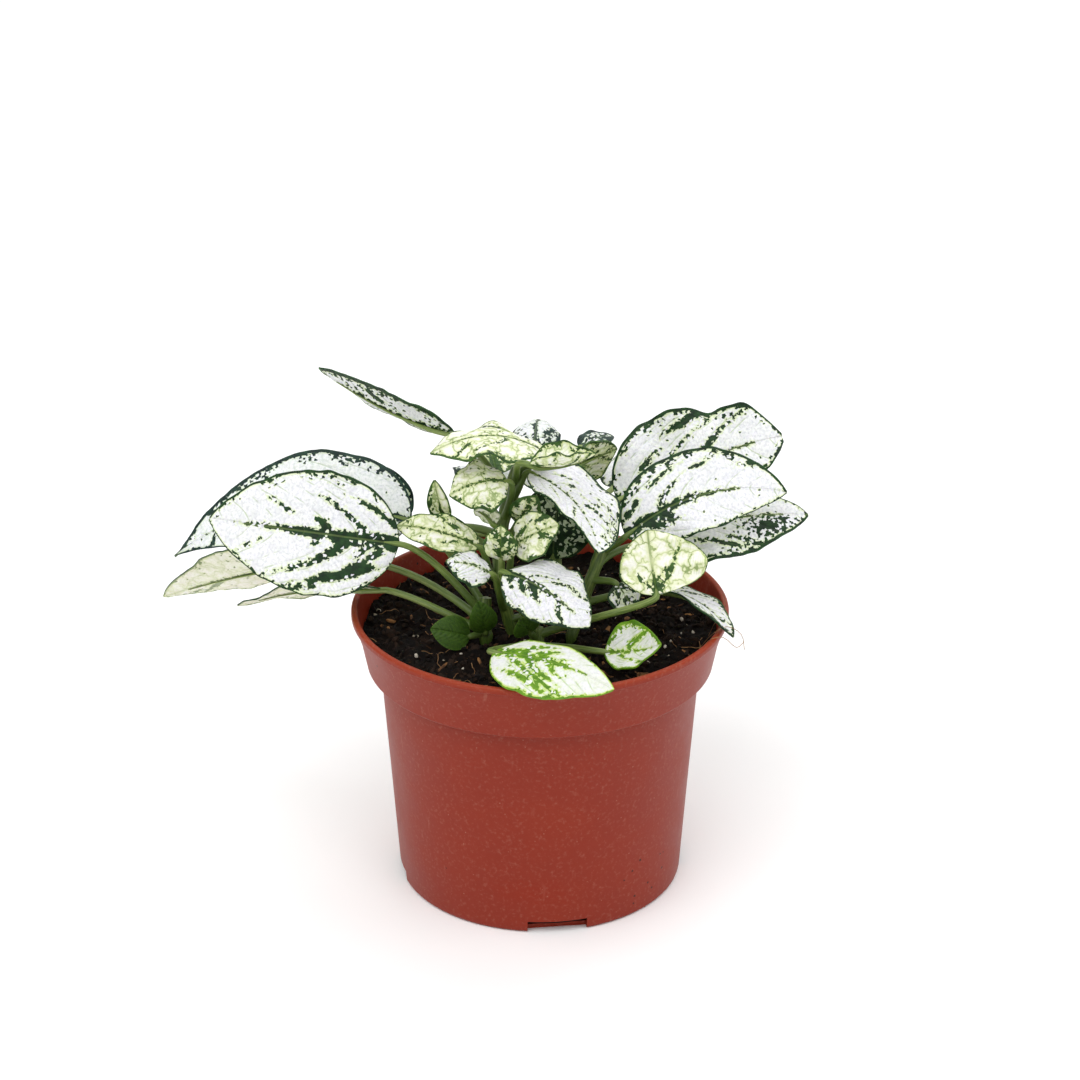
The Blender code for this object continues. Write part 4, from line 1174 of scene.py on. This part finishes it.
def revolve(profile, steps):
    """A closed shape round the pot's axis: a circle drawn out through the profile's (radius, height)s."""
    deselect()
    radius, height = profile[0]
    bpy.ops.mesh.primitive_circle_add(vertices=steps, radius=radius * MM, location=(0, 0, 0),
                                      fill_type="NOTHING")
    made = bpy.context.object
    bpy.ops.object.mode_set(mode="EDIT")
    bpy.ops.mesh.select_all(action="SELECT")
    bpy.ops.transform.translate(value=(0, 0, height * MM))
    for new_radius, new_height in profile[1:]:
        bpy.ops.mesh.extrude_region_move(
            TRANSFORM_OT_translate={"value": (0, 0, (new_height - height) * MM)})
        share = new_radius / radius
        bpy.ops.transform.resize(value=(share, share, 1), center_override=(0, 0, new_height * MM))
        radius, height = new_radius, new_height
    bpy.ops.mesh.select_all(action="SELECT")
    bpy.ops.mesh.remove_doubles(threshold=WELD * MM)
    bpy.ops.mesh.normals_make_consistent(inside=False)
    bpy.ops.object.mode_set(mode="OBJECT")
    return made


def corner(radius, height, size, start, end, count=5):
    """Points round a corner's arc, from one bearing to the other in degrees, on the profile's plane."""
    points = []
    for i in range(count):
        bearing = math.radians(start + (end - start) * i / (count - 1))
        points.append((radius + size * math.cos(bearing), height + size * math.sin(bearing)))
    return points


def pot_profile():
    """The wall's section: floor, inner wall, rolled lip, rim band, soft step, body and turned-in foot."""
    band_top = POT_RIM_RADIUS - LIP_STAND
    band_middle = BAND_LOW_RADIUS + BAND_HOLLOW * (band_top - BAND_LOW_RADIUS)
    inner_foot = POT_BASE_RADIUS - POT_WALL
    inner_heights = (INNER_MIDDLE, BAND_LOW_HEIGHT - INNER_STEP, BAND_LOW_HEIGHT + INNER_STEP,
                     POT_HEIGHT - 1.0)
    under_lip = POT_HEIGHT - LIP_HEIGHT
    return [
        (POLE_RADIUS, POT_FLOOR),
        (inner_foot - FLOOR_ROUND, POT_FLOOR),
        (inner_foot - 0.1, POT_FLOOR + FLOOR_ROUND),
        *((pot_inside(height), height) for height in inner_heights),
        *corner(band_top - POT_WALL + LIP_INNER_ROUND, POT_HEIGHT - LIP_INNER_ROUND, LIP_INNER_ROUND,
                180, 100, 4),
        *corner(POT_RIM_RADIUS - LIP_ROUND, POT_HEIGHT - LIP_ROUND, LIP_ROUND, 80, 0),
        (POT_RIM_RADIUS, POT_HEIGHT - 1.2),
        *corner(POT_RIM_RADIUS - LIP_UNDER_ROUND, under_lip + 0.5, LIP_UNDER_ROUND, 0, -70, 4),
        (band_top + 0.12, under_lip + 0.05),
        (band_top, under_lip - 0.3),
        (band_middle, (BAND_LOW_HEIGHT + POT_HEIGHT) / 2),
        *corner(BAND_LOW_RADIUS - BAND_ROUND, BAND_LOW_HEIGHT + BAND_ROUND, BAND_ROUND, 0, -90, 6),
        *((BODY_TOP_RADIUS + out, BAND_LOW_HEIGHT - down) for out, down in STEP_EASE),
        ((BODY_TOP_RADIUS + POT_BASE_RADIUS) / 2, BAND_LOW_HEIGHT / 2),
        (POT_BASE_RADIUS + 0.1, 2.4),
        *corner(POT_BASE_RADIUS - FOOT_ROUND, FOOT_ROUND, FOOT_ROUND, -5, -85),
        (POLE_RADIUS, 0),
    ]


def at_bearing(bearing, out):
    """A place on the floor at a bearing, so far out from the pot's axis."""
    return (math.cos(bearing) * out * MM, math.sin(bearing) * out * MM, 0)


def drain_cutter():
    """The slots at the foot of the wall and the holes in the floor, as one shape to cut away."""
    cutters = []
    for i in range(DRAIN_SLOTS):
        bearing = math.radians(DRAIN_SLOT_BEARING + 360 / DRAIN_SLOTS * i)
        deselect()
        bpy.ops.mesh.primitive_cube_add(
            size=1,
            location=at_bearing(bearing, POT_BASE_RADIUS - DRAIN_SLOT_CUT / 2 + CUTTER_STAND / 2),
            rotation=(0, 0, bearing),
            scale=((DRAIN_SLOT_CUT + CUTTER_STAND) * MM, DRAIN_SLOT_WIDTH * MM, 2 * DRAIN_SLOT_HEIGHT * MM),
        )
        cutters.append(bpy.context.object)
    for i in range(DRAIN_HOLES):
        deselect()
        bpy.ops.mesh.primitive_cylinder_add(
            vertices=32,
            radius=DRAIN_HOLE_RADIUS * MM,
            depth=POT_FLOOR * 4 * MM,
            location=at_bearing(math.tau / DRAIN_HOLES * i, DRAIN_HOLE_RING),
        )
        cutters.append(bpy.context.object)
    return join(cutters)


class PLANT_OT_pot(bpy.types.Operator):
    """Model the thin moulded pot with its rolled lip, rim band and drain slots"""

    bl_idname = "plant.pot"
    bl_label = "Pot"

    def execute(self, context):
        settings = context.scene.plant_pot
        pot = revolve(pot_profile(), settings.sides)
        cutter = drain_cutter()
        cut = pot.modifiers.new("drains", "BOOLEAN")
        cut.operation = "DIFFERENCE"
        cut.solver = "EXACT"
        cut.object = cutter
        apply_modifiers(pot)
        bpy.data.objects.remove(cutter)
        smooth(pot, 35)
        pot.data.materials.append(pot_material(settings))
        finish_piece(pot, "pot_moulded", "terracotta_plastic", "pot")
        return {"FINISHED"}


# ---------------------------------------------------------------- soil

def add_soil_top(steps):
    """The soil's uneven surface: a square grid drawn into a disc that fills the pot."""
    deselect()
    bpy.ops.mesh.primitive_grid_add(x_subdivisions=steps, y_subdivisions=steps, size=2)
    soil = bpy.context.object
    edge = pot_inside(SOIL_LEVEL) - SOIL_EDGE_GAP
    for vert in soil.data.vertices:
        u, v = vert.co.x, vert.co.y
        x, y = edge * u * math.sqrt(1 - v * v / 2), edge * v * math.sqrt(1 - u * u / 2)
        vert.co = (x * MM, y * MM, soil_height(x, y) * MM)
    return soil


def soil_sides():
    """Radii and heights of the block under the surface, a little inside the pot's wall and floor."""
    upper, lower = BAND_LOW_HEIGHT + INNER_STEP, BAND_LOW_HEIGHT - INNER_STEP
    foot = POT_BASE_RADIUS - POT_WALL
    return [(pot_inside(upper) - SOIL_SIDE_GAP, upper + SOIL_SIDE_GAP),
            (pot_inside(lower) - SOIL_SIDE_GAP, lower + SOIL_SIDE_GAP),
            *((foot - gap, POT_FLOOR + lift) for lift, gap in SOIL_FOOT)]


def close_below(soil, sides):
    """Draws the surface's edge down through the sides' rings and closes the underside."""
    bpy.ops.object.mode_set(mode="EDIT")
    bpy.ops.mesh.select_mode(type="EDGE")
    bpy.ops.mesh.select_all(action="SELECT")
    bpy.ops.mesh.region_to_loop()
    for radius, height in sides:
        bpy.ops.mesh.extrude_region_move(TRANSFORM_OT_translate={"value": (0, 0, -0.001)})
        shape = bmesh.from_edit_mesh(soil.data)
        for vert in shape.verts:
            if vert.select:
                out = math.hypot(vert.co.x, vert.co.y)
                vert.co = (vert.co.x / out * radius * MM, vert.co.y / out * radius * MM, height * MM)
        bmesh.update_edit_mesh(soil.data)
    bpy.ops.mesh.edge_face_add()
    bpy.ops.mesh.select_all(action="SELECT")
    bpy.ops.mesh.normals_make_consistent(inside=False)
    bpy.ops.object.mode_set(mode="OBJECT")


class PLANT_OT_soil(bpy.types.Operator):
    """Model the crumbly top of the potting soil and the block under it"""

    bl_idname = "plant.soil"
    bl_label = "Soil"

    def execute(self, context):
        settings = context.scene.plant_soil
        soil = add_soil_top(settings.steps)
        close_below(soil, soil_sides())
        smooth(soil, 50)
        soil.data.materials.append(soil_material(settings))
        finish_piece(soil, "soil_surface", "peat_soil", "soil")
        return {"FINISHED"}


@dataclass
class Bits:
    """One kind of loose bit on the soil. Sides are half lengths, the least and the greatest of each."""

    name: str
    setting: str  # the setting that says how many there are
    sides: tuple
    lift: float  # how far a bit's middle stands over the soil, as a share of its half height
    tilt: float  # radians
    jitter: float  # how far its corners are out of true, as a share
    material: str
    first: tuple
    second: tuple
    roughness: float


SOIL_BITS = (
    Bits("soil_crumbs", "crumbs", ((0.5, 1.7), (0.5, 1.7), (0.5, 1.7)), 0.1, math.pi, 0.3,
         "soil_crumb", tint(12, 8, 6), tint(40, 27, 18), 0.95),
    Bits("bark_chips", "chips", ((1.2, 3.2), (0.5, 1.2), (0.3, 0.6)), 0.5, 0.5, 0.2,
         "bark_chip", tint(70, 46, 28), tint(146, 104, 62), 0.85),
    Bits("pale_grains", "grains", ((0.4, 0.9), (0.4, 0.9), (0.4, 0.9)), 0.4, math.pi, 0.25,
         "pale_grain", tint(150, 140, 122), tint(205, 198, 184), 0.8),
)


def on_soil(rng, reach):
    """A random place on the soil, evenly spread."""
    bearing, out = rng.uniform(0, math.tau), reach * math.sqrt(rng.random())
    x, y = out * math.cos(bearing), out * math.sin(bearing)
    return Vector((x, y, soil_height(x, y)))


def random_turn(rng, tilt):
    """A turn about the vertical with a limited tilt."""
    lean = rng.uniform(-tilt, tilt)
    axis = Vector((rng.uniform(-1, 1), rng.uniform(-1, 1), 0.01))
    return Matrix.Rotation(lean, 3, axis) @ Matrix.Rotation(rng.uniform(0, math.tau), 3, "Z")


def scatter(seed_object, placements, jitter, rng):
    """Copies a small shape to each (place, turn, size) as one mesh, each copy a little out of true."""
    mesh = seed_object.data
    verts = [v.co.copy() for v in mesh.vertices]
    faces = [tuple(p.vertices) for p in mesh.polygons]
    all_verts, all_faces = [], []
    for place, turn, size in placements:
        first = len(all_verts)
        for co in verts:
            uneven = 1 + rng.uniform(-jitter, jitter)
            all_verts.append((place + turn @ Vector([c * s * uneven for c, s in zip(co, size)])) * MM)
        all_faces.extend(tuple(first + i for i in face) for face in faces)
    made = bpy.data.meshes.new(seed_object.name)
    made.from_pydata(all_verts, [], all_faces)
    seed_object.data = made
    bpy.data.meshes.remove(mesh)


def lay_bits(bits, count, rng):
    """Scatters one kind of loose bit over the soil, small ones more often than large ones."""
    deselect()
    bpy.ops.mesh.primitive_ico_sphere_add(subdivisions=1, radius=1)
    made = bpy.context.object
    placements = []
    for _ in range(count):
        size = [rng.uniform(low, high) for low, high in bits.sides]
        grown = rng.uniform(0.5, 1.0) ** 2 + 0.25
        size = [side * grown for side in size]
        place = on_soil(rng, BITS_REACH) + Vector((0, 0, size[2] * bits.lift))
        placements.append((place, random_turn(rng, bits.tilt), size))
    scatter(made, placements, bits.jitter, rng)
    made.data.materials.append(bit_material(bits.material, bits.first, bits.second, bits.roughness))
    finish_piece(made, bits.name, "peat_soil")


def hair_line(rng):
    """A root hair's line: it wanders over the soil and turns away from the edge."""
    spot = on_soil(rng, HAIRS_REACH)
    heading = rng.uniform(0, math.tau)
    length = rng.uniform(*HAIR_LENGTHS)
    points = []
    for _ in range(HAIR_STEPS + 1):
        points.append(Vector((spot.x, spot.y, soil_height(spot.x, spot.y) + HAIR_LIFT)))
        heading += rng.uniform(-0.5, 0.5)
        step = Vector((math.cos(heading), math.sin(heading), 0)) * length / HAIR_STEPS
        if (spot + step).to_2d().length > SOIL_RADIUS:
            heading += math.pi / 2
            step = Vector((math.cos(heading), math.sin(heading), 0)) * length / HAIR_STEPS
        spot = spot + step
    return points


def add_hair(line, radius):
    return add_tube(line, [radius] * len(line), HAIR_SIDES)


class PLANT_OT_soil_bits(bpy.types.Operator):
    """Scatter crumbs, bark, pale grains and root hairs over the soil"""

    bl_idname = "plant.soil_bits"
    bl_label = "Soil Bits"

    def execute(self, context):
        settings = context.scene.plant_soil
        rng = random.Random(SEED)
        for bits in SOIL_BITS:
            lay_bits(bits, getattr(settings, bits.setting), rng)
        hairs = [add_hair(hair_line(rng), HAIR_RADIUS) for _ in range(settings.hairs)]
        hairs += [add_hair(smooth_line(hair, 12), STRAY_HAIR_RADIUS) for hair in STRAY_HAIRS]
        roots = join(hairs)
        smooth(roots)
        roots.data.materials.append(bit_material("root_hair", tint(104, 74, 48), tint(160, 124, 84), 0.7))
        finish_piece(roots, "root_hairs", "peat_soil")
        return {"FINISHED"}


# ---------------------------------------------------------------- stems and leaves

def stem_tube(name):
    """A stem from its end in the soil up, thicker at each joint that a leaf or sprout leaves from."""
    line = smooth_line(STEMS[name], 30)
    foot = line[0] - Vector((0, 0, COLLAR - SOIL_LEVEL + ROOT_DEPTH))
    points = [foot, foot.lerp(line[0], 0.5), foot.lerp(line[0], 0.8), *line]
    joints = [leaf.node for leaf in LEAVES + SPROUTS if leaf.stem == name]
    radii = []
    for i, point in enumerate(points):
        swell = sum(math.exp(-(((point.z - node) / JOINT_HEIGHT) ** 2)) for node in joints)
        share = STEM_FOOT_SHARE - STEM_TAPER * i / len(points) + JOINT_SWELL * min(swell, 1.4)
        radii.append(STEM_RADIUS * share)
    return add_tube(points, radii, 16)


class PLANT_OT_stems(bpy.types.Operator):
    """Model the stems with their swollen joints, seed leaves and bracts"""

    bl_idname = "plant.stems"
    bl_label = "Stems"

    def execute(self, context):
        thickness = context.scene.plant_leaves.thickness
        stalk = stalk_material("stem_skin", tint(112, 130, 58), tint(62, 86, 28), tint(150, 164, 92))
        faces = [leaf_material(SPROUT_FINISH.kind)] * 2
        for number, name in enumerate(STEMS):
            tube = stem_tube(name)
            tube.data.materials.append(stalk)
            bodies = [tube]
            for sprout in SPROUTS:
                if sprout.stem == name:
                    blade = add_blade(sprout, SPROUT_FINISH, number + 0.37, thickness, faces)
                    petiole = add_tube(*petiole_line(sprout, 0.5, rings=8), 10)
                    petiole.data.materials.append(stalk)
                    bodies += [blade, petiole]
            stem = join(bodies)
            smooth(stem)
            finish_piece(stem, f"{name}_fine", "green_stem", name)
        return {"FINISHED"}


class PLANT_OT_leaves(bpy.types.Operator):
    """Model every leaf: a veined, waved, splashed blade on its stalk"""

    bl_idname = "plant.leaves"
    bl_label = "Leaves"

    def execute(self, context):
        settings = context.scene.plant_leaves
        stalk = stalk_material("leaf_stalk", tint(124, 142, 68), tint(76, 100, 36), tint(164, 178, 112))
        for number, leaf in enumerate(LEAVES):
            finish = FINISHES[leaf.name]
            faces = (leaf_material(finish.kind), leaf_material(finish.under))
            seed = number * 1.37 + 0.5  # so that each leaf reads the noise at another place
            blade = add_blade(leaf, finish, seed, settings.thickness, faces)
            petiole = add_tube(*petiole_line(leaf, STEM_RADIUS * 0.6), 12)
            petiole.data.materials.append(stalk)
            made = join([blade, petiole])
            smooth(made, 80)
            finish_piece(made, leaf.name.replace("leaf_", "blade_"), "variegated_leaf", leaf.name)
        return {"FINISHED"}


# ---------------------------------------------------------------- studio

def look_at(place, target):
    return (target - Vector(place)).to_track_quat("-Z", "Y").to_euler()


def add_light(name, place, side, target, power):
    light = bpy.data.lights.new(name, "AREA")
    light.shape = "SQUARE"
    light.size = side
    light.energy = power
    lamp = bpy.data.objects.new(name, light)
    bpy.context.scene.collection.objects.link(lamp)
    lamp.location = place
    lamp.rotation_euler = look_at(place, target)


def add_camera(settings, target):
    lens = bpy.data.cameras.new("studio_camera")
    lens.sensor_width = 36
    lens.lens = settings.lens
    lens.clip_start = 0.01
    camera = bpy.data.objects.new("studio_camera", lens)
    bpy.context.scene.collection.objects.link(camera)
    pitch = math.radians(settings.pitch)
    camera.location = target + Vector((0, -math.cos(pitch), math.sin(pitch))) * settings.distance
    camera.rotation_euler = look_at(camera.location, target)
    bpy.context.scene.camera = camera


def add_surroundings(strength):
    """Even white light from all round."""
    world = bpy.data.worlds.new("studio_world")
    world.use_nodes = True
    background = world.node_tree.nodes["Background"]
    background.inputs["Color"].default_value = WHITE
    background.inputs["Strength"].default_value = strength
    bpy.context.scene.world = world


class PLANT_OT_stage(bpy.types.Operator):
    """Set up the pale floor, the soft lights and the camera"""

    bl_idname = "plant.stage"
    bl_label = "Studio"

    def execute(self, context):
        settings = context.scene.plant_studio
        deselect()
        bpy.ops.mesh.primitive_plane_add(size=FLOOR_SIDE, location=(0, 0, 0))
        floor = context.object
        floor.name = "studio_floor"
        floor.data.materials.append(floor_material(settings.floor_colour))

        target = Vector((0, 0, VIEW_HEIGHT * MM))
        for name, place, side in LIGHTS:
            add_light(f"{name}_light", place, side, target, getattr(settings, f"{name}_power"))
        add_surroundings(settings.world_strength)
        add_camera(settings, target)
        context.scene.view_settings.view_transform = "Standard"
        return {"FINISHED"}


# ---------------------------------------------------------------- settings, panel, running

def colour_setting(name, description, value):
    return FloatVectorProperty(name=name, description=description, subtype="COLOR", size=4, min=0, max=1,
                               default=value)


def count_setting(name, description, value, least=0, most=10000):
    return IntProperty(name=name, description=description, default=value, min=least, max=most)


def power_setting(name, description, value):
    return FloatProperty(name=name, description=description, default=value, min=0)


class PotSettings(bpy.types.PropertyGroup):
    sides: count_setting("Sides", "Faces round the pot", 144, least=24, most=256)
    colour: colour_setting("Plastic", "Main colour of the pot", tint(131, 38, 17))
    warm_colour: colour_setting("Warm Plastic", "Colour of the pot's lighter smudges", tint(141, 45, 19))
    # the colour of the painted highlight along the top of the rolled lip
    lip_highlight_colour: colour_setting("Lip", "Colour of the rolled lip", tint(146, 52, 22))
    stain_colour: colour_setting("Stain", "Colour of the smear near the foot", tint(134, 34, 6))
    dust_colour: colour_setting("Dust", "Colour of specks and scratches", tint(190, 136, 116))


class SoilSettings(bpy.types.PropertyGroup):
    steps: count_setting("Steps", "Grid steps across the soil", 150, least=20, most=300)
    crumbs: count_setting("Crumbs", "Number of loose crumbs", 1500)
    chips: count_setting("Bark Chips", "Number of bark chips", 90)
    grains: count_setting("Pale Grains", "Number of pale grains", 70)
    hairs: count_setting("Root Hairs", "Number of root hairs", 50, least=1)
    colour: colour_setting("Peat", "Darkest colour of the soil", tint(8, 5, 4))
    brown: colour_setting("Brown", "Lighter colour of the soil", tint(24, 15, 10))


class LeafSettings(bpy.types.PropertyGroup):
    thickness: FloatProperty(name="Thickness", description="Thickness of a blade, in millimetres",
                             default=0.45, min=0.2, max=1.0)


class StudioSettings(bpy.types.PropertyGroup):
    lens: FloatProperty(name="Lens", description="Focal length", default=95.34, unit="CAMERA")
    pitch: FloatProperty(name="Pitch", description="Degrees that the camera looks down", default=24.38)
    distance: FloatProperty(name="Distance", description="From the camera to the middle of the plant",
                            default=0.9, unit="LENGTH")
    key_power: power_setting("Key Light", "Power of the main light, in watts", 20.0)
    fill_power: power_setting("Fill Light", "Power of the light on the right, in watts", 8.0)
    back_power: power_setting("Back Light", "Power of the light behind, in watts", 14.0)
    world_strength: power_setting("Surroundings", "Brightness all round", 0.6)
    floor_colour: colour_setting("Floor", "Colour of the floor", tint(252, 252, 252))


class PLANT_PT_panel(bpy.types.Panel):
    """Builds the plant, piece by piece"""

    bl_label = "Potted Plant"
    bl_idname = "PLANT_PT_panel"
    bl_space_type = "VIEW_3D"
    bl_region_type = "UI"
    bl_category = "Plant"

    def draw(self, context):
        layout = self.layout
        for name, settings, operators in SECTIONS:
            box = layout.box()
            for key in settings.__annotations__:
                box.prop(getattr(context.scene, name), key)
            for operator in operators:
                box.operator(operator)


SECTIONS = (
    ("plant_pot", PotSettings, ("plant.pot",)),
    ("plant_soil", SoilSettings, ("plant.soil", "plant.soil_bits")),
    ("plant_leaves", LeafSettings, ("plant.stems", "plant.leaves")),
    ("plant_studio", StudioSettings, ("plant.stage",)),
)
CLASSES = (PotSettings, SoilSettings, LeafSettings, StudioSettings, PLANT_OT_pot, PLANT_OT_soil,
           PLANT_OT_soil_bits, PLANT_OT_stems, PLANT_OT_leaves, PLANT_OT_stage, PLANT_PT_panel)


def register():
    for made in CLASSES:
        bpy.utils.register_class(made)
    for name, settings, _ in SECTIONS:
        setattr(bpy.types.Scene, name, PointerProperty(type=settings))


def unregister():
    for name, _, _ in SECTIONS:
        delattr(bpy.types.Scene, name)
    for made in reversed(CLASSES):
        bpy.utils.unregister_class(made)


def main():
    register()
    deselect()
    bpy.ops.plant.pot()
    bpy.ops.plant.soil()
    bpy.ops.plant.soil_bits()
    bpy.ops.plant.stems()
    bpy.ops.plant.leaves()
    bpy.ops.plant.stage()
    deselect()


if __name__ == "__main__":
    main()
